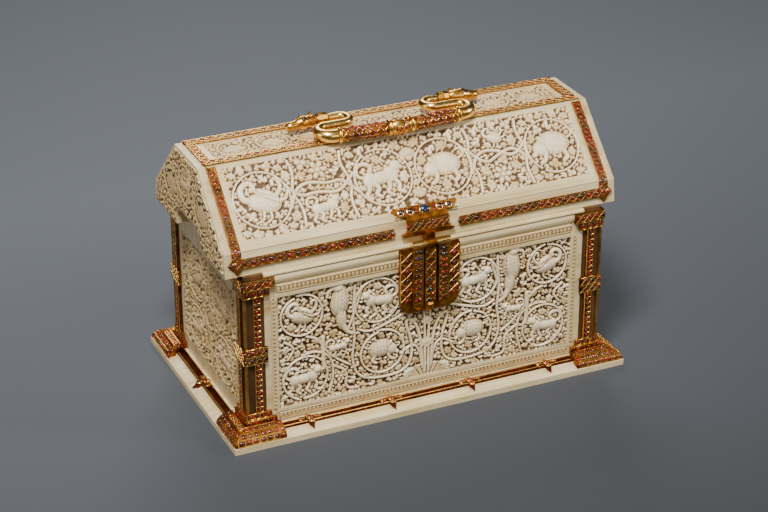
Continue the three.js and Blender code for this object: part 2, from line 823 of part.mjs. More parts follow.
function edgeLine(a, b, inset) {
  const way = new THREE.Vector2(b[0] - a[0], b[1] - a[1]).normalize();
  const normal = new THREE.Vector2(way.y, -way.x);
  return { start: new THREE.Vector2(a[0] + normal.x * inset, a[1] + normal.y * inset), way };
}

function crossing(first, second) {
  const turn = first.way.x * second.way.y - first.way.y * second.way.x;
  const between = second.start.clone().sub(first.start);
  const along = (between.x * second.way.y - between.y * second.way.x) / turn;
  return [first.start.x + first.way.x * along, first.start.y + first.way.y * along];
}

// The lid's section moved inwards by an inset, open at its foot.
function lidInset(inset) {
  const lines = lidOutline.slice(1).map((point, i) => edgeLine(lidOutline[i], point, inset));
  const foot = { start: new THREE.Vector2(0, 0), way: new THREE.Vector2(1, 0) };
  const ring = [crossing(foot, lines[0])];
  for (let i = 1; i < lines.length; i += 1) {
    ring.push(crossing(lines[i - 1], lines[i]));
  }
  return [...ring, crossing(lines[lines.length - 1], foot)];
}

// A board's section in its own face's coordinates: up the face, and outwards.
function boardSection(length, lowEnd, lowMitre, highMitre) {
  return [
    [lowEnd, 0], [length - mitreGap, 0],
    [length - mitreGap - lidBoard * highMitre, -lidBoard], [lowEnd + lidBoard * lowMitre, -lidBoard],
  ];
}

// How much shorter a board's inner face is at a corner, for each unit of thickness.
const eaveBend = Math.atan2(skirtHeight, skirtBatter) - Math.atan2(lidTop - eaveZ, eaveY - topHalfY);
const ridgeBend = Math.atan2(lidTop - eaveZ, eaveY - topHalfY);
const eaveMitre = Math.tan(eaveBend / 2);
const ridgeMitre = Math.tan(ridgeBend / 2);
const footMitre = skirtBatter / skirtHeight;
const mitreGap = gap * 0.55; // half a mitred joint, along the board

function slopeBoard(carving) {
  const board = run(boardSection(slopeLength, mitreGap, eaveMitre, ridgeMitre), -boardHalfX, boardHalfX);
  return carvedBoard(board, lidFieldHalf, slopeFoot, slopeLength - slopeHead, carving);
}

function skirtBoard() {
  return run(boardSection(skirtLength, 0, footMitre, eaveMitre), -boardHalfX, boardHalfX);
}

function topBoard() {
  const half = topHalfY - mitreGap;
  const under = half - lidBoard * ridgeMitre;
  const board = run([[-half, 0], [half, 0], [under, -lidBoard], [-under, -lidBoard]], -boardHalfX, boardHalfX);
  const fieldHalf = topHalfY - ridgeInset - stripWidth - 1.2;
  const ground = 0.6;
  return board.subtract(block(-lidFieldHalf, lidFieldHalf, -fieldHalf, fieldHalf, -ground, 1));
}

function notch() {
  const wide = notchWidth / 2;
  const round = notchHeight * 0.6;
  const outline = [
    [wide, -5], ...arc(wide - round, notchHeight - round, round, 0, Math.PI / 2, 3),
    ...arc(round - wide, notchHeight - round, round, Math.PI / 2, Math.PI, 3), [-wide, -5],
  ];
  return plate(outline, -notchDepth, 2);
}

function endBoardShape() {
  const outer = plate(lidOutline, -endBoard, 0);
  const inner = plate(lidInset(lidBoard + gap), -endBoard - endWall, -endBoard + 0.1);
  const leaves = [-1, 1].flatMap((side) => sprig(side * 30, 22, 9, 5, 0.4));
  const relief = join([...leaves, ...sprig(0, 38, 12, 7)]).translate(0, 0, -figureHeight / 2);
  return join([outer, inner, relief]).subtract(notch());
}

function addLidBoards() {
  put('lid_front', slopeBoard(slopeCarving()), ivory(), faces.frontSlope);
  const plain = plainCarving(lidFieldHalf, slopeFoot, slopeLength - slopeHead, 4);
  put('lid_back', slopeBoard(plain), ivory(), faces.backSlope);
  put('lid_front_skirt', skirtBoard(), ivory(), faces.frontSkirt);
  put('lid_back_skirt', skirtBoard(), ivory(), faces.backSkirt);
  put('lid_top', topBoard(), ivory(), faces.top);
  put('lid_left_end', endBoardShape(), ivory(), faces.leftEnd);
  put('lid_right_end', endBoardShape(), ivory(), faces.rightEnd);
}

// A long jewelled strip with a raised rim along both edges.
function rimmedStrip(x0, x1, y0, y1) {
  const rim = 0.9;
  const floor = stripThickness * 0.5;
  const section = [
    [y0, 0], [y1, 0], [y1, stripThickness], [y1 - rim, stripThickness], [y1 - rim, floor],
    [y0 + rim, floor], [y0 + rim, stripThickness], [y0, stripThickness],
  ];
  return run(section.map(([y, z]) => [y, z + frameZ]), x0, x1);
}

function uprightStrip(x0, x1, y0, y1) {
  const turnedStrip = rimmedStrip(y0, y1, -x1, -x0);
  return geometryOf(turnedStrip).rotateZ(Math.PI / 2);
}

// The eave strip's pointed end and the drop that hangs where the slope strip meets it.
function eaveEnd(side) {
  const [low, high] = [eaveStripRise, eaveStripRise + stripWidth];
  const start = lidHalfX - stripInset - stripWidth;
  const middle = lidHalfX - stripInset - stripWidth / 2;
  const outline = [
    [start, low], [middle, low - hangingTip], [lidHalfX - stripInset, low + 0.6],
    [lidHalfX - eaveTip, (low + high) / 2], [lidHalfX - stripInset, high], [start, high],
  ];
  return plate(outline.map(([x, y]) => [x * side, y]), frameZ, frameZ + stripThickness);
}

function eaveStrip(from, to, ends) {
  const strip = rimmedStrip(from, to, eaveStripRise, eaveStripRise + stripWidth);
  return join([strip, ...ends.map(eaveEnd)]);
}

function addLidStrips() {
  const reach = lidHalfX - stripInset - stripWidth / 2;
  const inner = haspPlateWidth / 2 + 9;
  put('eave_strip_left', eaveStrip(-reach, -inner, [-1]), jewelled(), faces.frontSkirt);
  put('eave_strip_right', eaveStrip(inner, reach, [1]), jewelled(), faces.frontSkirt);
  const [hingeIn, hingeOut] = [-1, 1].map((side) => (hingeSpacing + side * hingeWidth) / 2 + side * gap);
  put('eave_strip_back_left', eaveStrip(hingeOut, reach, [1]), jewelled(), faces.backSkirt);
  put('eave_strip_back_middle', eaveStrip(-hingeIn, hingeIn, []), jewelled(), faces.backSkirt);
  put('eave_strip_back_right', eaveStrip(-reach, -hingeOut, [-1]), jewelled(), faces.backSkirt);
  const [near, far] = [lidHalfX - stripInset - stripWidth, lidHalfX - stripInset];
  for (const [name, parent] of [['front', faces.frontSlope], ['back', faces.backSlope]]) {
    const hand = name === 'front' ? 1 : -1;
    const shape = uprightStrip(near, far, 1, slopeLength - 1);
    put(`slope_strip_${name}_right`, hand > 0 ? shape.clone() : mirrored(shape), jewelled(), parent);
    put(`slope_strip_${name}_left`, hand > 0 ? mirrored(shape) : shape.clone(), jewelled(), parent);
  }
  const edge = topHalfY - ridgeInset;
  put('ridge_strip_front', rimmedStrip(-far, far, -edge, -edge + stripWidth), jewelled(), faces.top);
  put('ridge_strip_back', rimmedStrip(-far, far, edge - stripWidth, edge), jewelled(), faces.top);
  const cross = uprightStrip(near, far, -edge + stripWidth + gap, edge - stripWidth - gap);
  put('cross_strip_right', cross, jewelled(), faces.top);
  put('cross_strip_left', mirrored(cross), jewelled(), faces.top);
}

// Lock plate, hasp plate and hasp, drawn on the front wall's face

function lockOutline(half, bottom, top) {
  const right = arc(half - lockCorner, bottom + lockCorner, lockCorner, -Math.PI / 2, 0, 4);
  const left = arc(lockCorner - half, bottom + lockCorner, lockCorner, Math.PI, 1.5 * Math.PI, 4);
  return [...left, ...right, [half, top], [-half, top]];
}

function lockPlate() {
  return plate(lockOutline(lockWidth / 2, lockBottom, lockTop), frameZ, frameZ + lockThickness);
}

// The plate's raised side bars, and the upright strip with its knob between the tongues.
function lockRim() {
  const half = lockWidth / 2;
  const low = frameZ + lockThickness + gap;
  const high = frameZ + lockThickness + lockRimHeight;
  const rim = plate(lockOutline(half, lockBottom, lockTop), low, high);
  const bay = plate(lockOutline(half - lockRimWidth, lockBottom + lockBridge, lockTop + lockBridge), 0, high + 1);
  return join([rim.subtract(bay), ...middleStrip(low)]);
}

function middleStrip(z) {
  const half = middleStripWidth / 2;
  const [foot, head] = [lockBottom + knobRadius, lockTop - 0.5];
  const knob = new THREE.SphereGeometry(knobRadius, 8, 6).scale(1, 1, 0.9);
  const below = block(-knobRadius, knobRadius, lockBottom, foot + knobRadius, 0, z);
  const parts = [
    block(-half, half, foot, head, z, z + middleStripHeight),
    solid(moved(knob, 0, foot, z + middleStripHeight * 0.6)).subtract(below),
  ];
  for (let y = foot + 9; y < head - 4; y += 9) {
    const stone = new THREE.SphereGeometry(1, 6, 4).rotateX(Math.PI / 2).scale(2, 2.8, 1.3);
    parts.push(solid(moved(stone, 0, y, z + middleStripHeight)));
  }
  return parts;
}

// One tongue, hanging from its knuckle, with a round end.
function tongue(x) {
  const half = tongueWidth / 2;
  const top = barrelHeight;
  const end = top - tongueLength;
  const outline = [
    ...arc(x, end + half, half, Math.PI, 2 * Math.PI, 6), [x + half, top], [x - half, top],
  ];
  const back = barrelStandoff - tongueThickness / 2;
  const rim = plate(outline, back, back + tongueThickness);
  const ridge = plate([[x, end + 3], [x + 1.6, end + 8], [x + 1.6, top - 8], [x - 1.6, top - 8],
    [x - 1.6, end + 8]], back, back + tongueThickness + 0.6);
  return [rim, ridge];
}

function haspShape() {
  const half = barrelLength / 2;
  const knuckle = barrelLength * 0.38;
  const rods = [
    rod(barrelRadius, -half, -half + knuckle, barrelHeight, barrelStandoff, 12),
    rod(barrelRadius, half - knuckle, half, barrelHeight, barrelStandoff, 12),
    rod(pinRadius, -half + 1, half - 1, barrelHeight, barrelStandoff, 10),
  ];
  return join([...rods, ...tongue(-tongueSpacing / 2), ...tongue(tongueSpacing / 2)]);
}

function haspPlate() {
  const inside = -(faceY - lidHalfY) + gap;
  const knuckle = barrelLength * 0.12 - gap;
  const bottom = lidBottom + 1;
  const flareTop = lidBottom + eaveStripRise + haspFlareHeight;
  const flare = haspFlareWidth / 2;
  const parts = [
    block(-haspPlateWidth / 2, haspPlateWidth / 2, flareTop - 1, eaveZ, inside, inside + haspThickness),
    plate([[-flare, flareTop - 1.4], [-flare + 3, flareTop - haspFlareHeight], [flare - 3, flareTop - haspFlareHeight],
      [flare, flareTop - 1.4], [flare - 3, flareTop], [-flare + 3, flareTop]], inside, inside + haspThickness + 0.8),
    block(-knuckle, knuckle, bottom, flareTop - 0.5, inside, barrelStandoff),
    rod(barrelRadius, -knuckle, knuckle, barrelHeight, barrelStandoff, 12),
  ];
  const bore = rod(pinRadius + gap * 1.2, -9, 9, barrelHeight, barrelStandoff, 12);
  return join(parts).subtract(bore);
}

// The flared bar over the eave, drawn on the front slope's face.
function haspBar() {
  const half = haspBarWidth / 2;
  const neck = haspPlateWidth / 2;
  const outline = [
    [-neck, -3], [neck, -3], [neck, 1.5], [half - 6, 1], [half, haspBarHeight - 1.5],
    [half - 1, haspBarHeight], [1 - half, haspBarHeight], [-half, haspBarHeight - 1.5], [6 - half, 1], [-neck, 1.5],
  ];
  return plate(outline, frameZ, frameZ + haspThickness);
}

function inFrontWall(geometry, group) {
  group.updateMatrixWorld(true);
  faces.front.updateMatrixWorld(true);
  const back = faces.front.matrixWorld.clone().invert().multiply(group.matrixWorld);
  return geometry.applyMatrix4(back);
}

function addLock() {
  put('lock_plate', lockPlate(), gilt(), faces.front);
  put('lock_rim', lockRim(), gilt(), faces.front);
  put('hasp', haspShape(), gilt(), faces.front);
  const bar = solid(inFrontWall(geometryOf(haspBar()), faces.frontSlope));
  put('hasp_plate', haspPlate().add(bar), gilt(), faces.front);
}

// Back hinges, drawn on the back wall's face

function hingeLower(x) {
  const half = hingeWidth / 2;
  const knuckle = hingeWidth / 3 - gap;
  const axis = hingeY - faceY;
  const leafTop = hingeZ - hingeRadius - gap;
  const parts = [block(x - half, x + half, leafTop - hingeLeaf, leafTop, frameZ, frameZ + hingeThickness)];
  for (const start of [x - half, x + half - knuckle]) {
    parts.push(block(start, start + knuckle, leafTop - 1, hingeZ, axis - hingeRadius, axis));
    parts.push(rod(hingeRadius, start, start + knuckle, hingeZ, axis, 10));
  }
  parts.push(rod(hingePin, x - half + 1, x + half - 1, hingeZ, axis, 8));
  return join(parts);
}

function hingeUpper(x) {
  const knuckle = hingeWidth / 6 - gap / 2;
  const axis = hingeY - faceY;
  const inside = -(faceY - lidHalfY) + gap;
  const foot = lidBottom + 1;
  const parts = [
    block(x - hingeWidth / 2, x + hingeWidth / 2, hingeZ + hingeRadius + gap, hingeZ + hingeUpperLeaf, inside,
      inside + hingeThickness),
    block(x - knuckle, x + knuckle, foot, foot + hingeThickness + 2, inside, axis),
    rod(hingeRadius, x - knuckle, x + knuckle, hingeZ, axis, 10),
  ];
  const bore = rod(hingePin + gap * 1.2, x - hingeWidth, x + hingeWidth, hingeZ, axis, 12);
  return join(parts).subtract(bore);
}

function addHinges() {
  for (const [name, side] of [['left', 1], ['right', -1]]) {
    put(`hinge_lower_${name}`, hingeLower(side * hingeSpacing / 2), gilt(), faces.back);
    put(`hinge_upper_${name}`, hingeUpper(side * hingeSpacing / 2), gilt(), faces.back);
  }
}

// Handle

function eyelet(x) {
  const half = eyeletWidth / 2;
  const ball = turned([[eyeletHole, -half], [eyeletRadius - 0.8, -half + 0.5], [eyeletRadius, 0],
    [eyeletRadius - 0.8, half - 0.5], [eyeletHole, half]], 10);
  const foot = lidTop + frameZ;
  const neck = block(x - 2.6, x + 2.6, pivotSetback - 2.6, pivotSetback + 2.6, foot, pivotZ - eyeletHole - 0.4);
  const base = block(x - 5.5, x + 5.5, pivotSetback - 4.5, pivotSetback + 4.5, foot, foot + 1.3);
  return join([solid(outward(moved(ball, x, pivotSetback, pivotZ))), neck, base]);
}

// Centre line of the handle's right half from its middle: x, y, z, half width, half height.
function handleHalf() {
  const round = (x, y, z, radius) => [x, y, z, radius, radius];
  const knot = knotWidth / 2;
  const collar = knot + 0.8;
  const bow = (x) => barY + barBow * (x / outerBend) ** 2;
  const bar = [
    round(0, bow(0), barZ, knotRadius),
    round(knot - 1.6, bow(knot), barZ, knotRadius - 0.3),
    round(knot, bow(knot), barZ, barRadius),
    round(collar, bow(collar), barZ, collarRadius),
    round(collar + collarWidth, bow(collar), barZ, collarRadius),
    round(collar + collarWidth + 0.6, bow(collar), barZ, barRadius),
    round(outerBend * 0.6, bow(outerBend * 0.6), barZ, barRadius + 0.3),
  ];
  return [...bar, ...outerTurn(round), ...innerTurn(round), ...head(round)];
}

function outerTurn(round) {
  const radius = (armY - barEndY) / 2;
  const steps = arc(outerBend, barEndY + radius, radius, -Math.PI / 2, Math.PI / 2, 4);
  return steps.map(([x, y], i) => {
    const share = i / (steps.length - 1);
    return round(x, y, barZ + (pivotZ - barZ) * share, barRadius - (barRadius - armRadius) * share);
  });
}

function innerTurn(round) {
  const radius = (pivotSetback - armY) / 2;
  const steps = arc(innerBend, armY + radius, radius, -Math.PI / 2, -1.5 * Math.PI, 4);
  return steps.map(([x, y]) => round(x, y, pivotZ, armRadius));
}

// The beast's head: how far out along its length, drop, half width and half height.
function head(round) {
  const start = pivotSpacing / 2 + eyeletWidth / 2 + 1.2;
  const profile = [
    [0.02, 0, 0.6, 0.65], [0.2, 0, 0.92, 0.95], [0.42, 0.02, 0.98, 1.02],
    [0.58, 0.06, 0.7, 0.7], [0.84, 0.14, 0.66, 0.6], [1, 0.18, 0.4, 0.36],
  ];
  const pivot = [
    round(pivotSpacing / 2 - eyeletWidth / 2 - 1.2, pivotSetback, pivotZ, pivotRadius),
    round(start - 0.3, pivotSetback, pivotZ, pivotRadius),
  ];
  const rings = profile.map(([along, drop, wide, high]) => [
    start + along * headLength, pivotSetback - drop * headLength * 0.5, pivotZ - drop * headLength * 0.5,
    headRadius * wide, headRadius * high,
  ]);
  return [...pivot, ...rings];
}

// One closed bar through the stations, eight-sided.
function barThrough(stations) {
  const centres = stations.map(([x, y, z]) => new THREE.Vector3(x, y, z));
  const up = new THREE.Vector3(0, 0, 1);
  const rings = stations.map((station, i) => {
    const ahead = centres[Math.min(i + 1, centres.length - 1)];
    const way = ahead.clone().sub(centres[Math.max(i - 1, 0)]).normalize();
    const side = up.clone().cross(way).normalize();
    const lift = way.clone().cross(side);
    return barRing(centres[i], side, lift, station[3], station[4]);
  });
  return solid(loft(rings));
}

function barRing(centre, side, lift, wide, high) {
  const sides = 8;
  return Array.from({ length: sides }, (_, k) => {
    const angle = turnAbout * (k + 0.5) / sides;
    const across = side.clone().multiplyScalar(wide * Math.cos(angle));
    return centre.clone().add(across).addScaledVector(lift, high * Math.sin(angle));
  });
}

function headTrim(side) {
  const start = pivotSpacing / 2 + eyeletWidth / 2 + 1.2;
  const x = (share) => side * (start + share * headLength);
  const parts = [];
  for (const y of [-1, 1]) {
    const eye = new THREE.OctahedronGeometry(1.7);
    const ear = new THREE.ConeGeometry(1.5, 5, 3).rotateZ(side * 1.1);
    const at = pivotSetback + y * headRadius * 0.6;
    parts.push(solid(moved(eye, x(0.42), at - 0.4, pivotZ + headRadius * 0.55)));
    parts.push(solid(moved(ear, x(0.16), at, pivotZ + headRadius * 0.6)));
  }
  return parts;
}

function handle() {
  const half = handleHalf();
  const other = half.slice(1).map(([x, ...rest]) => [-x, ...rest]).reverse();
  return join([barThrough([...other, ...half]), ...headTrim(-1), ...headTrim(1)]);
}

function addHandle() {
  put('eyelet_left', eyelet(-pivotSpacing / 2), gilt());
  put('eyelet_right', eyelet(pivotSpacing / 2), gilt());
  put('handle', handle(), gilt());
}

addPlinth();
addWalls();
addPosts();
addLidBoards();
addLidStrips();
addLock();
addHinges();
addHandle();

export default casket;
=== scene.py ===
# Looks of a carved ivory casket with gilt and garnet mounts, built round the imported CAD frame.
import json
import math

import bpy
import numpy as np
from mathutils import Matrix, Vector

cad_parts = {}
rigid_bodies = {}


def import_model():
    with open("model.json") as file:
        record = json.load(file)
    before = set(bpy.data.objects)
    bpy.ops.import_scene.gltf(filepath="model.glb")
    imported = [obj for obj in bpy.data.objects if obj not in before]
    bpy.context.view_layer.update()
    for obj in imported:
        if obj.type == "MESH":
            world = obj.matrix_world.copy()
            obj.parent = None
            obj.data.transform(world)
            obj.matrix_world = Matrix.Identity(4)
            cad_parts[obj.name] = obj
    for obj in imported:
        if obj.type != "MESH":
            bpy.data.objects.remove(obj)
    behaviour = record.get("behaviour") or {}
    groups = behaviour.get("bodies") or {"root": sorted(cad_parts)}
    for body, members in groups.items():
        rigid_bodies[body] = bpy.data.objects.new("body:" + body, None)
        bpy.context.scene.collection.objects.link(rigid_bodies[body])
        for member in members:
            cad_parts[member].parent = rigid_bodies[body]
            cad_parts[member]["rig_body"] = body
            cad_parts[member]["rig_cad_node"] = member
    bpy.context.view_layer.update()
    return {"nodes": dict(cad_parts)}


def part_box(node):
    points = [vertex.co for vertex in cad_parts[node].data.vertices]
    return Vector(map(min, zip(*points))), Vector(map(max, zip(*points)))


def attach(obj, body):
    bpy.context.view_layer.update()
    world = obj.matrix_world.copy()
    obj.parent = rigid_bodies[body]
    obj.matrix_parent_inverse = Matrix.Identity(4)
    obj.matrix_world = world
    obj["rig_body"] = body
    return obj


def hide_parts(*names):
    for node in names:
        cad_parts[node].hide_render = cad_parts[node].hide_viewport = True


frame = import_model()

cadNodes = frame["nodes"]
mm = 0.001


def linear(hexColour):
    channels = [int(hexColour[i:i + 2], 16) / 255 for i in (1, 3, 5)]
    return tuple(c / 12.92 if c <= 0.04045 else ((c + 0.055) / 1.055) ** 2.4 for c in channels) + (1.0,)


def addNode(tree, kind, settings={}, inputs={}, stops=()):
    # an input is a value or a socket to link; a ramp's first two stops are its ends
    node = tree.nodes.new(kind)
    for name, value in settings.items():
        setattr(node, name, value)
    for name, value in inputs.items():
        if isinstance(value, bpy.types.NodeSocket):
            tree.links.new(value, node.inputs[name])
        else:
            node.inputs[name].default_value = value
    for i, (place, colour) in enumerate(stops):
        stop = node.color_ramp.elements[i] if i < 2 else node.color_ramp.elements.new(place)
        stop.position, stop.color = place, linear(colour)
    return node


def newMaterial(name):
    material = bpy.data.materials.new(name)
    material.use_nodes = True
    tree = material.node_tree
    return material, tree, tree.nodes["Principled BSDF"]


# Camera, lights and floor

cameraView = {
    "place": (-0.5585, -1.2213, 0.7526), "azimuth": -24.55, "elevation": 26.63,  # metres and degrees
    "lens": 98.6, "sensor": 36,  # millimetres
}
studio = {
    # the floor's colour runs from painted shade near the camera to mid grey behind
    "floorSize": 8, "floorNearShade": "#1c1d1f", "floorFar": "#565a60", "floorRoughness": 0.7,
    "floorShadeFade": (-0.4, 0.35),  # where the painted shade starts and ends, in metres along y
    "room": "#6f757e", "roomStrength": 0.2,
    # name: place, size, watts, aim
    "softboxes": {
        "keySoftbox": ((-0.45, -0.6, 1.4), 0.34, 38, (0, 0, 0.12)),
        "frontSoftbox": ((0.35, -1.8, 0.75), 0.6, 5, (0, 0, 0.08)),
        "rightSoftbox": ((1.2, -0.75, 0.8), 0.4, 11, (0, 0, 0.1)),
        "leftSoftbox": ((-1.5, -0.1, 0.6), 0.5, 5, (0, 0, 0.1)),
        "backSoftbox": ((0.3, 1.2, 1.1), 0.7, 10, (0, 0, 0.15)),
    },
}


def addCamera():
    bpy.ops.object.camera_add(location=cameraView["place"])
    camera = bpy.context.object
    tilt, turn = math.radians(90 - cameraView["elevation"]), math.radians(cameraView["azimuth"])
    camera.rotation_euler = (tilt, 0, turn)
    camera.data.lens = cameraView["lens"]
    camera.data.sensor_width = cameraView["sensor"]
    bpy.context.scene.camera = camera


def addSoftboxes():
    for name, (place, size, watts, aim) in studio["softboxes"].items():
        bpy.ops.object.light_add(type="AREA", location=place)
        light = bpy.context.object
        light.name = name
        light.data.size = size
        light.data.energy = watts
        light.rotation_euler = (Vector(aim) - light.location).to_track_quat("-Z", "Y").to_euler()


def floorPaintedShade():
    # floor with painted shade: a dull coat, painted dark in front and mid grey behind
    material, tree, shader = newMaterial("floorWithPaintedShade")
    place = addNode(tree, "ShaderNodeTexCoord").outputs["Object"]
    depth = addNode(tree, "ShaderNodeSeparateXYZ", {}, {"Vector": place}).outputs["Y"]
    near, far = studio["floorShadeFade"]
    fade = addNode(tree, "ShaderNodeMapRange", {}, {
        "Value": depth, "From Min": near, "From Max": far}).outputs[0]
    tone = addNode(tree, "ShaderNodeValToRGB", {}, {"Fac": fade},
                   ((0, studio["floorNearShade"]), (1, studio["floorFar"]))).outputs[0]
    tree.links.new(tone, shader.inputs["Base Color"])
    shader.inputs["Roughness"].default_value = studio["floorRoughness"]
    return material


def addFloor():
    bpy.ops.mesh.primitive_plane_add(size=studio["floorSize"], location=(0, 0, 0))
    floor = bpy.context.object
    floor.name = "floor"
    floor.data.materials.append(floorPaintedShade())


def addRoom():
    world = bpy.data.worlds.new("room")
    bpy.context.scene.world = world
    world.use_nodes = True
    background = world.node_tree.nodes["Background"]
    background.inputs["Color"].default_value = linear(studio["room"])
    background.inputs["Strength"].default_value = studio["roomStrength"]


addCamera()
addSoftboxes()
addFloor()
addRoom()
print("studio ready")

# Materials: widths of their patterns and depths of their bumps in mm


def grain(tree, width, detail=3, rough=0.55, stretch=(1, 1, 1)):
    # cloudy noise with patches of about the given width
    place = addNode(tree, "ShaderNodeTexCoord").outputs["Object"]
    turned = addNode(tree, "ShaderNodeMapping", {}, {"Vector": place, "Scale": stretch}).outputs[0]
    return addNode(tree, "ShaderNodeTexNoise", {}, {
        "Vector": turned, "Scale": 1 / (width * mm), "Detail": detail, "Roughness": rough}).outputs[0]


def surfaced(tree, shader, colour, height, look, values):
    # colour and bump linked, the rest set as plain values
    tree.links.new(colour, shader.inputs["Base Color"])
    bump = addNode(tree, "ShaderNodeBump", {}, {
        "Height": height, "Strength": look["bump"], "Distance": look["bumpDepth"] * mm}).outputs[0]
    tree.links.new(bump, shader.inputs["Normal"])
    for name, value in values.items():
        shader.inputs[name].default_value = value


def ivoryGlow(look, roughness):
    # light sinks a little way into ivory and horn, red furthest
    return {"Roughness": roughness, "Subsurface Weight": look["glow"], "Subsurface Radius": (1.0, 0.6, 0.35),
            "Subsurface Scale": look["glowDepth"] * mm}


carvedLook = {"dirtWidth": 4.55, "dirt": 0.34, "patchWidth": 45.5, "patchTone": "#f3e2c4",
              "toolWidth": 1.11, "bump": 0.25, "bumpDepth": 0.15, "glow": 0.12, "glowDepth": 0.8}


def carvedIvory(name, tones, roughness=0.42):
    # walrus or elephant ivory, chiselled: pale polished crowns, partly painted light, over recesses browned
    # with dirt and painted shade
    material, tree, shader = newMaterial(name)
    # the relief's painted shade and dirt: dark in recesses and creases, pale on the crowns
    height = addNode(tree, "ShaderNodeAttribute", {"attribute_name": "shadeAndDirt"}).outputs["Fac"]
    level = addNode(tree, "ShaderNodeMath", {"operation": "MULTIPLY_ADD"}, {
        0: grain(tree, carvedLook["dirtWidth"]), 1: carvedLook["dirt"], 2: height}).outputs[0]
    level = addNode(tree, "ShaderNodeMath", {"operation": "SUBTRACT", "use_clamp": True}, {
        0: level, 1: carvedLook["dirt"] / 2}).outputs[0]
    tone = addNode(tree, "ShaderNodeValToRGB", {}, {"Fac": level}, tones).outputs[0]
    warm = addNode(tree, "ShaderNodeMix", {"data_type": "RGBA", "blend_type": "MULTIPLY"}, {
        0: grain(tree, carvedLook["patchWidth"], 2), 6: tone, 7: linear(carvedLook["patchTone"])}).outputs[2]
    marks = grain(tree, carvedLook["toolWidth"])
    surfaced(tree, shader, warm, marks, carvedLook, ivoryGlow(carvedLook, roughness))
    return material


plateLook = {"streakWidth": 6.25, "patchWidth": 38.5, "patches": 0.55, "shade": 0.28, "roughness": 0.34,
             "bump": 0.2, "bumpDepth": 0.2, "glow": 0.1, "glowDepth": 1}


def plainIvory(name, tones, stretch):
    # ivory or horn sawn to a plate and polished: faint long grain under yellower patches
    material, tree, shader = newMaterial(name)
    streaks = grain(tree, plateLook["streakWidth"], 4, 0.6, stretch)
    mixed = addNode(tree, "ShaderNodeMath", {"operation": "MULTIPLY_ADD"}, {
        0: grain(tree, plateLook["patchWidth"]), 1: plateLook["patches"], 2: streaks}).outputs[0]
    mixed = addNode(tree, "ShaderNodeMath", {"operation": "SUBTRACT", "use_clamp": True}, {
        0: mixed, 1: plateLook["shade"]}).outputs[0]
    tone = addNode(tree, "ShaderNodeValToRGB", {}, {"Fac": mixed}, tones).outputs[0]
    surfaced(tree, shader, tone, streaks, plateLook, ivoryGlow(plateLook, plateLook["roughness"]))
    return material


gildingLook = {"wearWidth": 7.69, "wornTo": 0.32, "brightFrom": 0.62, "hammerWidth": 2.38, "bumpDepth": 0.3}


def gilding(name, bright, worn, roughness, hammer=0.35):
    # fire-gilt metal: orange-rich film, browner where it is rubbed, softly uneven from the hammer
    material, tree, shader = newMaterial(name)
    wear = grain(tree, gildingLook["wearWidth"], 4)
    tone = addNode(tree, "ShaderNodeValToRGB", {}, {"Fac": wear}, (
        (gildingLook["wornTo"], worn), (gildingLook["brightFrom"], bright))).outputs[0]
    surfaced(tree, shader, tone, grain(tree, gildingLook["hammerWidth"], 2), {**gildingLook, "bump": hammer},
             {"Metallic": 1, "Roughness": roughness})
    return material


gemLook = {"tintWidth": 6.67, "deepTo": 0.4, "lightFrom": 0.68, "roughness": 0.12, "ior": 1.76}


def gemstone(name, deep, light):
    # polished cabochon: a dark glassy body with a sharp highlight, its tint changing from stone to stone
    material, tree, shader = newMaterial(name)
    tint = grain(tree, gemLook["tintWidth"], 1)
    tone = addNode(tree, "ShaderNodeValToRGB", {}, {"Fac": tint}, (
        (gemLook["deepTo"], deep), (gemLook["lightFrom"], light))).outputs[0]
    tree.links.new(tone, shader.inputs["Base Color"])
    shader.inputs["Roughness"].default_value = gemLook["roughness"]
    shader.inputs["IOR"].default_value = gemLook["ior"]
    return material


alongX, alongZ, hornGrain = (0.08, 1, 1), (1, 1, 0.08), (1, 1, 0.06)
ivoryCarved = carvedIvory("chiselledIvory", (
    (0.0, "#4c3419"), (1.0, "#fdf2d8"), (0.2, "#806036"), (0.42, "#ac8b57"), (0.68, "#d3bb8b")))
ivoryWorn = carvedIvory("wornIvory", (
    (0.0, "#40270f"), (1.0, "#dfcba0"), (0.22, "#7a5830"), (0.45, "#b3925e"), (0.7, "#cfb686")), 0.5)
ivoryPale = plainIvory("polishedIvory", ((0.1, "#a37b42"), (0.85, "#eadab5"), (0.42, "#d2b985")), alongX)
ivoryUpright = plainIvory("polishedIvoryUpright", (
    (0.1, "#8d6a3c"), (0.85, "#e0cea6"), (0.42, "#c4aa79")), alongZ)
hornBrown = plainIvory("polishedHorn", ((0.1, "#2a180c"), (0.9, "#7d5832"), (0.5, "#55381d")), hornGrain)
giltWarm = gilding("fireGilding", "#f0b452", "#b06d22", 0.3)
giltBright = gilding("burnishedGilding", "#ffd478", "#e8aa48", 0.27, 0.1)
giltDark = gilding("rubbedGilding", "#c07a2c", "#5c2a10", 0.4)
giltStained = gilding("stainedGilding", "#7a3414", "#32100a", 0.42)
garnet = gemstone("cabochonGarnet", "#2e0505", "#9a1a12")
sapphire = gemstone("cabochonSapphire", "#05070e", "#1f2b46")
print("materials ready")

# Carving: heights over a grid, each motif a rounded boss that stands on the sunk ground


def newField(left, right, low, high, cell, full=2.4):
    columns, rows = round((right - left) / cell), round((high - low) / cell)
    return {
        "x": np.linspace(left, right, columns + 1), "y": np.linspace(low, high, rows + 1),
        "h": np.zeros((rows + 1, columns + 1)), "discs": [], "full": full,
    }


def patch(field, x, y, reach):
    i0, i1 = np.searchsorted(field["x"], (x - reach, x + reach))
    j0, j1 = np.searchsorted(field["y"], (y - reach, y + reach))
    return field["h"][j0:j1, i0:i1], field["x"][i0:i1][None, :] - x, field["y"][j0:j1][:, None] - y


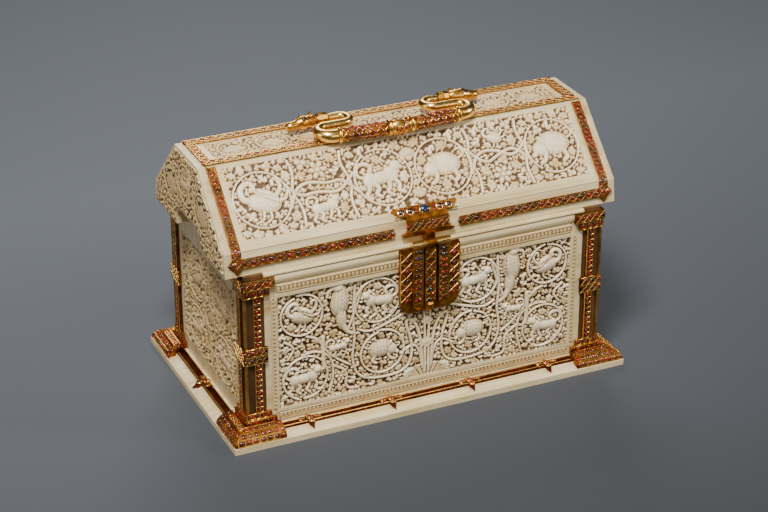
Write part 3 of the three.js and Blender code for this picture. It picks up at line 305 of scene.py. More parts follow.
def dome(field, x, y, rx, ry=None, turn=0.0, top=2.0, base=0.35, mark=True, crown=0.5):
    ry = ry or rx
    if mark:
        long, narrow = max(rx, ry), min(rx, ry)
        tilt = turn if rx >= ry else turn + math.pi / 2
        for reach in (0,) if long < 1.4 * narrow else (narrow - long, 0, long - narrow):
            field["discs"].append((x + reach * math.cos(tilt), y + reach * math.sin(tilt), narrow))
    block, dx, dy = patch(field, x, y, max(rx, ry))
    if block.size:
        c, s = math.cos(turn), math.sin(turn)
        e = ((dx * c + dy * s) / rx) ** 2 + ((dy * c - dx * s) / ry) ** 2
        rise = np.where(e < 1, top * (base + (1 - base) * np.clip(1 - e, 0, 1) ** crown), 0)
        np.maximum(block, rise, out=block)


tufts = {"row": 2.5, "wide": 2.6, "rim": 0.86, "least": 1.2, "deep": 0.6}


def feather(field, x, y, rx, ry, turn, way):
    # rows of small chisel cuts that overlap like feathers or tufts over one mass
    block, dx, dy = patch(field, x, y, max(rx, ry))
    if block.size:
        c, s = math.cos(turn), math.sin(turn)
        u, v = dx * c + dy * s, dy * c - dx * s
        inner = (u / rx) ** 2 + (v / ry) ** 2 < tufts["rim"]
        scallop = (u * way / tufts["row"] + 0.5 * np.abs(np.sin(math.pi * v / tufts["wide"]))) % 1.0
        block -= np.where(inner & (block > tufts["least"]), tufts["deep"] * (1 - scallop) ** 2, 0)


def along(points, step):
    placed = []
    for (x0, y0), (x1, y1) in zip(points, points[1:]):
        n = max(1, int(math.hypot(x1 - x0, y1 - y0) / step))
        placed += [(x0 + (x1 - x0) * i / n, y0 + (y1 - y0) * i / n) for i in range(n)]
    return placed + [points[-1]]


def smooth(points, rounds=3):
    # every corner cut off at its quarters, the two ends kept
    for _ in range(rounds):
        cut = [points[0]]
        for (x0, y0), (x1, y1) in zip(points, points[1:]):
            cut.append((0.75 * x0 + 0.25 * x1, 0.75 * y0 + 0.25 * y1))
            cut.append((0.25 * x0 + 0.75 * x1, 0.25 * y0 + 0.75 * y1))
        points = cut + [points[-1]]
    return points


def vine(field, points, wide, tip=None, top=2.1, base=0.5):
    tip = wide if tip is None else tip
    path = along(smooth(points), 0.3)
    for i, (x, y) in enumerate(path):
        t = i / max(1, len(path) - 1)
        dome(field, x, y, wide + (tip - wide) * t, top=top, base=base, mark=i % 3 == 0)


def groove(field, points, wide, deep):
    for x, y in along(smooth(points, 2), 0.35):
        block, dx, dy = patch(field, x, y, wide)
        if block.size:
            near = np.hypot(dx, dy) < wide
            floor = block[near].mean() - deep if near.any() else 0
            block[near] = np.minimum(block[near], max(floor, 0.3))


leafShape = {"fan": 2.5, "long": 0.46, "shorter": 0.06, "reach": 0.36, "heart": 0.24}


def leafSpray(field, x, y, turn, size, lobes=5, top=2.0):
    # round lobes fan out from the stalk, the middle one longest
    slim = 0.62 if lobes < 4 else 0.5
    for k in range(lobes):
        swing = (k - (lobes - 1) / 2) * (leafShape["fan"] / (lobes - 1))
        length = size * (leafShape["long"] - leafShape["shorter"] * abs(swing))
        a = turn + swing
        dome(field, x + math.cos(a) * size * leafShape["reach"], y + math.sin(a) * size * leafShape["reach"],
             length * 0.75, length * slim, a, top * (1 - leafShape["shorter"] * abs(swing)), 0.25)
    dome(field, x, y, size * leafShape["heart"], top=top * 0.9)


def rosette(field, x, y, size, petals=6, top=2.1):
    for k in range(petals):
        a = 2 * math.pi * k / petals
        dome(field, x + 0.62 * size * math.cos(a), y + 0.62 * size * math.sin(a),
             0.4 * size, 0.27 * size, a, top)
    dome(field, x, y, 0.28 * size, top=top * 1.1)


def ring(field, x, y, radius, wide=0.95, start=20, sweep=340, curl=0.0, top=2.3, steps=40):
    points = []
    for i in range(steps + 1):
        a = math.radians(start + sweep * i / steps)
        r = radius * (1 - curl * (i / steps) ** 2)
        points.append((x + r * math.cos(a), y + r * math.sin(a)))
    vine(field, points, wide, wide * 0.8, top)


def figure(field, x, y, size, way, parts):
    # an animal of the given size round x, y, facing right or, where way is -1, left
    def at(spot):
        return x + way * spot[0] * size, y + spot[1] * size

    for kind, *v in parts:
        if kind in ("mass", "coat"):
            px, py, rx, ry, turn, top = v
            middle, turn = at((px, py)), way * math.radians(turn)
            dome(field, *middle, rx * size, ry * size, turn, top, 0.35, crown=0.8)
            if kind == "coat":
                feather(field, *middle, rx * size, ry * size, turn, way)
        elif kind == "limb":
            points, wide, tip, top = v
            vine(field, [at(q) for q in points], wide * size, tip * size, top, 0.35)
        elif kind == "beads":
            points, wide, top = v
            for q in along([at(q) for q in points], 2.1 * wide * size):
                dome(field, *q, wide * size, top=top)
        else:
            points, wide, deep = v
            groove(field, [at(q) for q in points], wide, deep)


# Animals drawn facing right in a square of side one round their middle. A mass or coat has its middle, radii,
# turn in degrees and height in mm; a limb its points, widths at both ends and height; beads their points,
# width and height; a cut its points and its width and depth in mm
goose = (
    ("coat", -0.04, -0.06, 0.32, 0.2, 14, 3.2),
    ("mass", 0.13, -0.02, 0.17, 0.16, 30, 3.0),
    ("limb", [(0.2, 0.0), (0.36, 0.06), (0.38, 0.26), (0.22, 0.38), (0.1, 0.32), (0.12, 0.22)],
     0.07, 0.05, 2.7),
    ("mass", 0.14, 0.23, 0.075, 0.06, -40, 2.9),
    ("limb", [(0.1, 0.19), (0.04, 0.11)], 0.03, 0.02, 2.4),
    ("coat", -0.12, 0.08, 0.25, 0.1, 34, 3.4),
    ("coat", -0.18, 0.0, 0.22, 0.08, 30, 3.2),
    ("limb", [(-0.28, 0.04), (-0.42, 0.16), (-0.4, 0.36), (-0.28, 0.36), (-0.28, 0.26)], 0.05, 0.035, 2.3),
    ("limb", [(-0.3, -0.06), (-0.46, -0.06), (-0.52, 0.08)], 0.045, 0.03, 2.2),
    ("limb", [(0.02, -0.22), (0.06, -0.38), (0.16, -0.42)], 0.03, 0.028, 2.1),
    ("limb", [(-0.1, -0.22), (-0.1, -0.38), (0.0, -0.44)], 0.03, 0.028, 2.1),
    ("cut", [(-0.34, -0.06), (-0.16, 0.04), (0.02, 0.14)], 0.35, 0.5),
    ("cut", [(-0.26, -0.1), (-0.02, 0.04)], 0.35, 0.4),
)
lion = (
    ("mass", -0.06, 0.0, 0.27, 0.13, 6, 3.2), ("mass", 0.16, 0.04, 0.16, 0.17, 0, 3.4),
    ("mass", -0.27, -0.01, 0.15, 0.16, 0, 3.3), ("mass", 0.29, 0.19, 0.12, 0.11, 20, 3.6),
    ("mass", 0.39, 0.15, 0.06, 0.05, -10, 2.6), ("mass", 0.21, 0.28, 0.04, 0.06, 20, 2.6),
    ("beads", [(0.1, 0.2), (0.06, 0.06), (0.14, -0.08), (0.24, -0.04)], 0.035, 2.9),
    ("beads", [(0.16, 0.26), (0.17, 0.12), (0.24, 0.04), (0.32, 0.06)], 0.035, 3.0),
    ("limb", [(0.2, -0.06), (0.3, -0.2), (0.22, -0.3), (0.34, -0.36)], 0.05, 0.04, 2.4),
    ("limb", [(0.1, -0.06), (0.08, -0.22), (0.0, -0.3), (0.1, -0.38)], 0.05, 0.04, 2.2),
    ("limb", [(-0.24, -0.08), (-0.12, -0.2), (-0.24, -0.3), (-0.14, -0.38)], 0.055, 0.04, 2.4),
    ("limb", [(-0.34, -0.08), (-0.32, -0.2), (-0.44, -0.3), (-0.34, -0.38)], 0.05, 0.04, 2.2),
    ("limb", [(-0.38, 0.04), (-0.52, 0.1), (-0.48, 0.3), (-0.3, 0.34), (-0.18, 0.24), (-0.24, 0.16)],
     0.035, 0.05, 2.3),
)
boar = (
    ("coat", -0.04, 0.05, 0.33, 0.23, 4, 3.4), ("mass", 0.24, -0.02, 0.16, 0.15, -20, 3.0),
    ("mass", 0.38, -0.12, 0.08, 0.055, -30, 2.6), ("mass", 0.22, 0.16, 0.04, 0.07, -20, 2.8),
    ("limb", [(0.16, -0.12), (0.2, -0.26), (0.3, -0.3)], 0.05, 0.04, 2.3),
    ("limb", [(-0.2, -0.12), (-0.26, -0.26), (-0.16, -0.32)], 0.055, 0.04, 2.3),
    ("limb", [(-0.34, 0.1), (-0.48, 0.16), (-0.44, 0.3), (-0.34, 0.28)], 0.03, 0.025, 2.1),
    ("cut", [(0.1, 0.2), (0.14, 0.02), (0.12, -0.14)], 0.35, 0.4),
)
perched = (
    ("coat", 0.0, 0.16, 0.17, 0.3, 6, 3.4), ("mass", -0.02, -0.14, 0.1, 0.26, -4, 2.8),
    ("mass", 0.03, 0.42, 0.11, 0.09, 0, 3.0),
    ("limb", [(0.1, 0.44), (0.22, 0.4), (0.24, 0.28)], 0.045, 0.02, 2.4),
    ("limb", [(-0.04, -0.26), (-0.1, -0.42), (-0.22, -0.5)], 0.06, 0.03, 2.4),
    ("cut", [(-0.1, 0.34), (-0.12, 0.1), (-0.04, -0.1)], 0.35, 0.5),
)


filling = {"step": 0.6, "margin": 0.5, "jitter": 0.2, "near": 9, "sway": 0.6, "bend": 0.5, "stalk": 0.5,
           "most": 6000}


def smallLeaf(field, rng, x, y, size, turn, high):
    # one of five small forms, by the room there is and by chance
    kind = rng.random()
    foot = x - 0.3 * size * math.cos(turn), y - 0.3 * size * math.sin(turn)
    if size > 1.3 and kind < 0.45:
        # a leaf that curls over to one side, its tip the narrow end
        bend = rng.choice((-1, 1))
        reach = [(x + r * size * math.cos(turn + bend * a), y + r * size * math.sin(turn + bend * a))
                 for r, a in ((-0.7, 0.0), (0.15, 0.5), (0.8, 0.9), (0.75, 1.9))]
        vine(field, reach, 0.42 * size, 0.2 * size, high * 1.15, 0.25)
        side = turn + bend * 1.4
        dome(field, x - 0.35 * size * math.cos(side), y - 0.35 * size * math.sin(side),
             0.42 * size, top=high * 0.9, base=0.25)
    elif size > 1.7 and kind < 0.75:
        leafSpray(field, *foot, turn, size * 1.9, 5, high)
    elif size > 1.2 and kind < 0.9:
        leafSpray(field, *foot, turn, size * 1.9, 3, high)
    elif size > 1.2:
        for a in (turn, turn + 2.1, turn + 4.2):
            dome(field, x + 0.55 * size * math.cos(a), y + 0.55 * size * math.sin(a), size * 0.56,
                 top=high, base=0.25)
    else:
        dome(field, x, y, size * 1.1, size * 0.85, turn, high, 0.25)


def fillGaps(field, rng, biggest=2.3, stop=0.55, top=1.9):
    # the widest gap left takes the next leaf, bud or berry, tied to its neighbour by a stalk
    xs, ys, step = field["x"], field["y"], filling["step"]
    gx, gy = np.meshgrid(np.arange(xs[0], xs[-1], step), np.arange(ys[0], ys[-1], step))
    gx, gy = gx.ravel(), gy.ravel()
    aside, above = np.minimum(gx - xs[0], xs[-1] - gx), np.minimum(gy - ys[0], ys[-1] - gy)
    room = np.minimum(aside, above) + filling["margin"]
    for x, y, r in field["discs"]:
        near = np.abs(gy - y) < r + filling["near"]
        room[near] = np.minimum(room[near], np.hypot(gx[near] - x, gy[near] - y) - r)
    count = len(field["discs"])
    spots = np.array(field["discs"] + [(0, 0, 0)] * filling["most"])
    while room.max() >= stop:
        k = int(room.argmax())
        x, y = (g[k] + rng.uniform(-filling["jitter"], filling["jitter"]) for g in (gx, gy))
        size = min(room[k], biggest) * rng.uniform(0.92, 1.08)
        nearest = int((np.hypot(spots[:count, 0] - x, spots[:count, 1] - y) - spots[:count, 2]).argmin())
        nx, ny = spots[nearest, :2]
        turn = math.atan2(y - ny, x - nx) + rng.uniform(-filling["sway"], filling["sway"])
        high = top * rng.uniform(0.78, 1.22)
        bend = filling["bend"]
        halfway = (nx + x) / 2 + rng.uniform(-bend, bend), (ny + y) / 2 + rng.uniform(-bend, bend)
        vine(field, [(nx, ny), halfway, (x, y)], filling["stalk"], filling["stalk"] - 0.05, high * 0.75)
        smallLeaf(field, rng, x, y, size, turn, high)
        spots[count] = x, y, size
        count += 1
        near = (np.abs(gy - y) < size + filling["near"]) & (np.abs(gx - x) < size + filling["near"])
        room[near] = np.minimum(room[near], np.hypot(gx[near] - x, gy[near] - y) - size)


def blurred(h, n):
    # the mean over 2n + 1 cells each way
    for axis in (0, 1):
        edges = [(n + 1, n) if a == axis else (0, 0) for a in (0, 1)]
        total, size = np.cumsum(np.pad(h, edges, mode="edge"), axis), h.shape[axis]
        first = np.arange(size)
        h = (np.take(total, first + 2 * n + 1, axis) - np.take(total, first, axis)) / (2 * n + 1)
    return h


# weights of the painted shade and dirt: the ground's level, the crowns' paling and the creases' darkening
wear = {"ground": 0.1, "crown": 0.8, "bend": 0.8, "creaseDirtAndShade": 0.45, "reach": 2, "creaseDirtAndShadeRange": (-0.5, 1.2)}


def paintedShadeAndDirtLevel(field):
    # how pale the ivory is painted: crowns lighter, partly rubbed and partly painted light; the ground and the
    # creases between bosses darker with brown dirt and painted shade
    h = field["h"]
    creaseDirtAndShade = np.clip(blurred(h, wear["reach"]) - h, *wear["creaseDirtAndShadeRange"])
    crown = np.clip(h / field["full"], 0, 1) ** wear["bend"]
    return np.clip(wear["ground"] + wear["crown"] * crown - wear["creaseDirtAndShade"] * creaseDirtAndShade, 0, 1)


def bare():
    bpy.ops.object.select_all(action="DESELECT")


def cutAway(slab, outer):
    # the vertices marked as outer are deleted
    slab.data.vertices.foreach_set("select", outer)
    slab.data.edges.foreach_set("select", np.zeros(len(slab.data.edges), bool))
    slab.data.polygons.foreach_set("select", np.zeros(len(slab.data.polygons), bool))
    bpy.ops.object.mode_set(mode="EDIT")
    bpy.ops.mesh.select_mode(type="VERT")
    bpy.ops.mesh.delete(type="VERT")
    bpy.ops.object.mode_set(mode="OBJECT")


def closeBack(inward):
    # the rim pulled back by the slab's thickness and filled with one flat face
    bpy.ops.object.mode_set(mode="EDIT")
    bpy.ops.mesh.select_mode(type="VERT")
    bpy.ops.mesh.select_all(action="SELECT")
    bpy.ops.mesh.region_to_loop()
    bpy.ops.mesh.extrude_region_move(TRANSFORM_OT_translate={"value": inward})
    bpy.ops.mesh.edge_face_add()
    bpy.ops.object.mode_set(mode="OBJECT")


rimLevel = {"edge": 0.9, "cut": 0.8}


def reliefSlab(name, field, origin, across, up, ground, thick, body, material, inside=None):
    # the heights on a closed slab whose rim meets the face round the field
    origin, across, up = Vector(origin), Vector(across), Vector(up)
    outward = across.cross(up)
    x, y, h = field["x"], field["y"], field["h"].copy()
    shadeAndDirt = paintedShadeAndDirtLevel(field)
    if inside is not None:
        keep = inside(x[None, :], y[:, None])
        inner = np.roll(keep, 1, 0) & np.roll(keep, -1, 0) & np.roll(keep, 1, 1) & np.roll(keep, -1, 1)
        h[keep & ~inner], shadeAndDirt[keep & ~inner] = -ground, rimLevel["cut"]
    for rim in (np.s_[0, :], np.s_[-1, :], np.s_[:, 0], np.s_[:, -1]):
        h[rim], shadeAndDirt[rim] = -ground, rimLevel["edge"]
    bare()
    bpy.ops.mesh.primitive_grid_add(x_subdivisions=len(x) - 1, y_subdivisions=len(y) - 1, size=2)
    slab = bpy.context.object
    slab.name = slab.data.name = name
    co = np.zeros(len(slab.data.vertices) * 3)
    slab.data.vertices.foreach_get("co", co)
    co = co.reshape(-1, 3)
    i = np.rint((co[:, 0] + 1) / 2 * (len(x) - 1)).astype(int)
    j = np.rint((co[:, 1] + 1) / 2 * (len(y) - 1)).astype(int)
    rise = ground + h[j, i]
    spot = (np.array(origin)[None] + x[i][:, None] * np.array(across)[None]
            + y[j][:, None] * np.array(up)[None] + rise[:, None] * np.array(outward)[None])
    slab.data.vertices.foreach_set("co", (spot * mm).ravel())
    # painted shade and dirt per vertex, dark in recesses, pale on crowns
    levels = slab.data.attributes.new("shadeAndDirt", "FLOAT", "POINT")
    levels.data.foreach_set("value", shadeAndDirt[j, i].astype(np.float32))
    if inside is not None:
        cutAway(slab, ~keep[j, i])
    closeBack(outward * (-thick * mm))
    bpy.ops.object.shade_smooth()
    slab.data.materials.append(material)
    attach(slab, body)


def pocketed(node, name, low, high, turn, material):
    # a copy of a CAD panel that takes its place, with a box-shaped pocket for the carved slab
    source = cadNodes[node]
    bare()
    copy = source.copy()
    copy.data = source.data.copy()
    copy.parent = None
    bpy.context.collection.objects.link(copy)
    copy.name = copy.data.name = name
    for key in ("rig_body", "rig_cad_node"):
        if key in copy:
            del copy[key]
    bpy.context.view_layer.objects.active = copy
    copy.select_set(True)
    bpy.ops.object.mode_set(mode="EDIT")
    bpy.ops.mesh.select_all(action="SELECT")
    bpy.ops.mesh.remove_doubles(threshold=0.001 * mm)
    bpy.ops.object.mode_set(mode="OBJECT")
    bare()
    low, high = Vector(low) * mm, Vector(high) * mm
    bpy.ops.mesh.primitive_cube_add(size=1, location=(0, 0, 0))
    cutter = bpy.context.object
    for v in cutter.data.vertices:
        v.co = turn @ Vector([low[a] if v.co[a] < 0 else high[a] for a in range(3)])
    cut = copy.modifiers.new("pocket", "BOOLEAN")
    cut.operation, cut.object, cut.solver = "DIFFERENCE", cutter, "EXACT"
    bpy.context.view_layer.objects.active = copy
    bpy.ops.object.modifier_apply(modifier=cut.name)
    bpy.data.objects.remove(cutter)
    copy.data.materials.clear()
    copy.data.materials.append(material)
    body = source["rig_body"]
    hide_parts(node)
    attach(copy, body)


# Front panel: x from its middle, y up from the plinth's underside, in mm

frontField = {
    "half": 110.9, "low": 18.7, "high": 104.0, "face": -71, "ground": -2.6, "pocket": 4.6, "cell": 0.45,
    "seed": 11, "gaps": (3.3, 0.8, 1.8), "slack": 0.05,
}
# drawn on the right and mirrored: points, width, tip, height
frontVines = (
    ([(1.3, 22), (1.3, 50), (2.4, 72), (6, 80)], 1.0, 0.8, 2.3),
    ([(3, 25), (5, 38), (10, 46), (20, 40)], 1.1, 0.9, 2.1),
    ([(3, 28), (6, 60), (18, 68), (10, 44), (14, 26), (34, 24), (52, 28), (57, 44), (54, 60), (56, 76),
      (54, 100)], 1.15, 0.9, 2.1),
    ([(14, 72), (30, 66), (44, 62), (52, 66)], 1.1, 0.9, 2.1),
    ([(78, 66), (78.2, 58), (77.5, 42)], 1.5, 1.3, 2.6),
    ([(90, 69), (82, 66), (74, 52), (64, 44), (58, 40)], 1.1, 0.9, 2.1),
    ([(93, 55), (84, 57), (72, 50), (70, 36), (74, 22)], 1.15, 0.9, 2.1),
    ([(70, 42), (60, 36), (62, 22), (52, 21)], 1.1, 0.9, 2.1),
    ([(106, 68), (98, 62), (104, 54)], 1.0, 0.8, 2.1),
    ([(49, 98), (53, 84), (60, 66)], 1.1, 0.9, 2.1),
)
# x, y, radius, start and sweep in degrees, share by which the ring closes in
frontRings = ((93.5, 86, 15.5, 100, 350, 0.06), (91, 37.5, 16.5, 250, 345, 0.05),
              (37.5, 85, 17, 230, 345, 0.06), (34, 45, 16.5, 90, 350, 0.05))
# x, y, size, 1 for facing outwards or -1 for inwards, animal
frontFigures = ((93.5, 86, 27, 1, goose), (91, 37, 29, -1, lion), (37.5, 85, 29, 1, lion),
                (34, 46, 29, -1, boar), (65, 84, 40, 1, perched), (66, 56, 19, -1, lion))
# x, y, turn in degrees, size
frontSprays = ((10, 62, 60, 6), (19, 76, 200, 5), (104, 61, 20, 6), (20, 96, 150, 5), (52, 72, 250, 5),
               (84, 63, 120, 5), (22, 30, 250, 5), (46, 27, 70, 5), (84, 21, 80, 5), (106, 24, 60, 5),
               (107, 48, 250, 5), (18, 52, 20, 5), (78, 98, 90, 5), (58, 99, 250, 5))
middleSprays = ((13, 22, 40, 8), (0, 42, 90, 9), (0, 60, 90, 8), (9, 76, 60, 7))


def frontPanelField(cell):
    return newField(-frontField["half"], frontField["half"], frontField["low"], frontField["high"], cell)


def carveFront():
    f = frontPanelField(frontField["cell"])
    # the mound that the middle stem grows from, with its furrows
    dome(f, 0, 17, 19, 11, top=1.7, base=0.8)
    for lean in (-12, -6, 0, 6, 12):
        groove(f, [(lean * 0.4, 19), (lean * 0.75, 26)], 0.4, 0.6)
    for x, y, tilt, size in middleSprays:
        leafSpray(f, x, y, math.radians(tilt), size, 5, 2.5)
        leafSpray(f, -x, y, math.radians(180 - tilt), size, 5, 2.5)
    for w in (-1, 1):
        for points, wide, tip, top in frontVines:
            vine(f, [(w * x, y) for x, y in points], wide, tip, top)
        for x, y, radius, start, sweep, curl in frontRings:
            ring(f, w * x, y, radius, 0.9, start, sweep * w, curl)
        for x, y, size, way, animal in frontFigures:
            figure(f, w * x, y, size, w * way, animal)
        rosette(f, w * 65, 33, 4.5)
        for x, y, tilt, size in frontSprays:
            leafSpray(f, w * x, y, math.radians(tilt if w > 0 else 180 - tilt), size)
    fillGaps(f, np.random.default_rng(frontField["seed"]), *frontField["gaps"])
    reliefSlab("front_carving", f, (0, frontField["face"], 0), (1, 0, 0), (0, 0, 1), frontField["ground"],
               frontField["pocket"] - frontField["slack"], "box", ivoryCarved)


carveFront()
pocketed("front_panel", "front_panel_border", (-frontField["half"], -80, frontField["low"]),
         (frontField["half"], frontField["face"] + frontField["pocket"], frontField["high"]),
         Matrix.Identity(4), ivoryPale)
print("front carved")

# Lid's front slope: x from its middle, y up the slope from its foot, in mm

slopeFrame = {
    "foot": (0, -66.7, 140.2), "head": (0, -22.3, 184.0), "half": 129.3, "low": 7.0, "high": 59.4,
    "ground": -2.6, "pocket": 4.4, "cell": 0.42, "seed": 23, "gaps": (4.2, 0.85, 1.9), "slack": 0.05,
    "above": 10,
}
# x, y, radius, start and sweep in degrees
slopeRings = ((-108.5, 33, 20, 300, 350), (-20.5, 33, 20.5, 120, 350), (24.5, 33, 20.5, 60, -350),
              (109, 33, 20, 240, 350))
slopeVines = (
    [(-90, 24), (-84, 36), (-74, 40), (-60, 36), (-50, 38), (-40, 26)],
    [(-90, 40), (-82, 30), (-68, 32), (-54, 28), (-41, 40)],
    [(44, 24), (52, 38), (66, 38), (78, 30), (90, 40)],
    [(44, 42), (56, 28), (68, 34), (80, 38), (90, 26)],
)
# stems between the roundels: x, and the side to which they sway
slopeStems = ((-84, 1), (-46, -1), (47, 1), (87, -1))
# x, y, size, way, animal
slopeFigures = ((-108.5, 33, 36, -1, goose), (-20.5, 33, 36, 1, lion), (24.5, 33, 37, -1, boar),
                (109, 33, 38, -1, boar), (-66, 20, 26, 1, lion), (67.5, 47, 18, -1, goose))
slopeRosettes = ((-64.5, 47, 7), (66, 19, 7))


def slopeField(cell):
    return newField(-slopeFrame["half"], slopeFrame["half"], slopeFrame["low"], slopeFrame["high"], cell)


def carveSlope(place):
    f = slopeField(slopeFrame["cell"])
    for x, y, radius, start, sweep in slopeRings:
        ring(f, x, y, radius, 0.8, start, sweep)
    for points in slopeVines:
        vine(f, points, 1.2)
    for x, way in slopeStems:
        vine(f, [(x, 9), (x + 2 * way, 22), (x - 3 * way, 34), (x + 2 * way, 48), (x, 57)], 1.0)
    for x, y, size, way, animal in slopeFigures:
        figure(f, x, y, size, way, animal)
    for x, y, size in slopeRosettes:
        rosette(f, x, y, size)
    leafSpray(f, 2, 44, math.radians(90), 11, 7)
    leafSpray(f, 2, 20, math.radians(-90), 9, 7)
    for x in (-125, -92, -40, 42, 92, 125):
        leafSpray(f, x, 52, math.radians(70), 6)
        leafSpray(f, x, 13, math.radians(-100), 6)
    fillGaps(f, np.random.default_rng(slopeFrame["seed"]), *slopeFrame["gaps"])
    reliefSlab("lid_front_carving", f, *place, slopeFrame["ground"],
               slopeFrame["pocket"] - slopeFrame["slack"], "lid", ivoryCarved)


def turned(foot, across, up):
    # a face's own axes as a matrix in metres, its last axis outwards
    turn = Matrix((across, up, across.cross(up))).transposed().to_4x4()
    turn.translation = foot * mm
    return turn


foot, across = Vector(slopeFrame["foot"]), Vector((1, 0, 0))
up = (Vector(slopeFrame["head"]) - foot).normalized()
carveSlope((foot, across, up))
pocketed("lid_front", "lid_front_border", (-slopeFrame["half"], slopeFrame["low"], -slopeFrame["pocket"]),
         (slopeFrame["half"], slopeFrame["high"], slopeFrame["above"]), turned(foot, across, up), ivoryPale)
print("slope carved")

# Ends, back, top and gables: the same carving, lower, more worn and plainer


def pattern(field, seed, rings, gaps, marks=()):
    # rings with an animal or, where there is none, a leaf spray; gaps are filled last
    top = gaps[-1]
    for x, y, radius, animal, size, way in rings:
        ring(field, x, y, radius, 1.0, 40, 345, 0.04, top * 1.1)
        if animal is None:
            leafSpray(field, x, y - radius * 0.4, math.radians(90), radius * 1.3, 5, top)
        else:
            lowered = [part if part[0] == "cut" else (*part[:-1], part[-1] * top / 2.2) for part in animal]
            figure(field, x, y, size, way, lowered)
    for points in marks:
        vine(field, points, 0.9, 0.8, top * 1.05)
    fillGaps(field, np.random.default_rng(seed), *gaps)
    return field


ends = {
    "half": 52.3, "face": 134, "cell": 0.62, "ground": -2.0, "pocket": 3.4, "seed": 31,
    "gaps": (2.6, 0.8, 1.6),
    "stems": ([(0, 20), (0, 36), (0, 50)], [(0, 68), (0, 84), (0, 102)]),
    # x, y, radius, animal, its size, its way
    "rings": ((-26, 80, 19, goose, 30, 1), (26, 80, 19, goose, 30, -1), (-26, 38, 17.5, lion, 29, 1),
              (26, 38, 17.5, lion, 29, -1), (0, 59, 9, None, 0, 1)),
}
hands = ((-1, "left"), (1, "right"))
for sx, hand in hands:
    f = newField(-ends["half"], ends["half"], frontField["low"], frontField["high"], ends["cell"])
    pattern(f, ends["seed"] + sx, ends["rings"], ends["gaps"], ends["stems"])
    reliefSlab(hand + "_carving", f, (sx * ends["face"], 0, 0), (0, sx, 0), (0, 0, 1), ends["ground"],
               ends["pocket"] - frontField["slack"], "box", ivoryWorn)
    inner, outer = sx * (ends["face"] - ends["pocket"]), sx * 140
    pocketed(hand + "_panel", hand + "_panel_border",
             (min(inner, outer), -ends["half"], frontField["low"]),
             (max(inner, outer), ends["half"], frontField["high"]), Matrix.Identity(4), ivoryUpright)

back = {
    "cell": 0.85, "ground": -2.0, "pocket": 3.4, "seed": 51, "gaps": (3.6, 1.3, 1.8),
    "rings": ((-74, 61, 31, goose, 48, 1), (0, 61, 31, boar, 48, 1), (74, 61, 31, goose, 48, -1)),
    "lidSeed": 52, "lidGaps": (3.4, 1.2, 1.8), "lidUp": (0, -0.7119, 0.7023),
    "lidRings": ((-98, 33, 23, goose, 38, 1), (-33, 33, 23, lion, 38, 1), (33, 33, 23, lion, 38, -1),
                 (98, 33, 23, goose, 38, -1)),
}
f = frontPanelField(back["cell"])
pattern(f, back["seed"], back["rings"], back["gaps"])
reliefSlab("back_carving", f, (0, -frontField["face"], 0), (-1, 0, 0), (0, 0, 1), back["ground"],
           back["pocket"] - frontField["slack"], "box", ivoryWorn)
pocketed("back_panel", "back_panel_border",
         (-frontField["half"], -frontField["face"] - back["pocket"], frontField["low"]),
         (frontField["half"], 80, frontField["high"]), Matrix.Identity(4), ivoryPale)

f = slopeField(back["cell"])
pattern(f, back["lidSeed"], back["lidRings"], back["lidGaps"])
foot, across, up = Vector((0, 66.7, 140.2)), Vector((-1, 0, 0)), Vector(back["lidUp"])
reliefSlab("lid_back_carving", f, foot, across, up, back["ground"], back["pocket"] - slopeFrame["slack"],
           "lid", ivoryWorn)
pocketed("lid_back", "lid_back_border", (-slopeFrame["half"], slopeFrame["low"], -back["pocket"]),
         (slopeFrame["half"], slopeFrame["high"], slopeFrame["above"]), turned(foot, across, up), ivoryPale)

lidTop = {"half": 129.0, "wide": 13.5, "face": 183.4, "cell": 0.6, "full": 0.9, "lift": 0.05, "thick": 0.5,
          "seed": 53, "pitch": 28, "first": -112, "radius": 11, "gaps": (2.2, 0.8, 0.8)}
f = newField(-lidTop["half"], lidTop["half"], -lidTop["wide"], lidTop["wide"], lidTop["cell"], lidTop["full"])
pattern(f, lidTop["seed"], [(x, 0, lidTop["radius"], None, 0, 1) for x in range(
    lidTop["first"], -lidTop["first"] + 1, lidTop["pitch"])], lidTop["gaps"])
reliefSlab("lid_top_carving", f, (0, 0, lidTop["face"]), (1, 0, 0), (0, 1, 0), lidTop["lift"], lidTop["thick"],
           "lid", ivoryWorn)

gable = {
    "half": 67, "height": 60, "face": 146, "foot": 123.7, "border": 2.2, "cell": 0.7, "full": 0.9,
    "lift": 0.42, "thick": 1.0, "seed": 61, "gaps": (2.4, 0.9, 0.75), "low": 1.5, "high": 59,
    "skirt": 16.5, "skirtHalf": 69, "slopeHalf": 66.7, "topHalf": 22.3, "slope": 43.8,
    "notchHalf": 24.0, "notchStep": 5.4, "notchArc": 8.1,
    "notchTop": 15, "notchBorder": 1.6,
    "rings": ((-30, 30, 14, None, 0, 1), (30, 30, 14, None, 0, 1), (0, 38, 15, lion, 24, 1)),
}


def insideGable(u, v):
    # u across the end, v up from the lid's lower edge; the notch is cut out of its foot
    skirt, arc = gable["skirt"], gable["notchArc"]
    onSkirt = gable["skirtHalf"] - (gable["skirtHalf"] - gable["slopeHalf"]) * v / skirt
    onSlope = gable["slopeHalf"] - (gable["slopeHalf"] - gable["topHalf"]) * (v - skirt) / gable["slope"]
    edge = np.where(v < skirt, onSkirt, onSlope) - gable["border"]
    rise = np.clip(v - gable["notchStep"], 0, arc)
    notched = np.where(v < gable["notchStep"], gable["notchHalf"],
                       gable["notchHalf"] - arc + np.sqrt(np.clip(arc ** 2 - rise ** 2, 0, None)))
    notch = (v < gable["notchTop"]) & (np.abs(u) < notched + gable["notchBorder"])
    return (np.abs(u) < edge) & (v > gable["low"]) & (v < gable["high"]) & ~notch


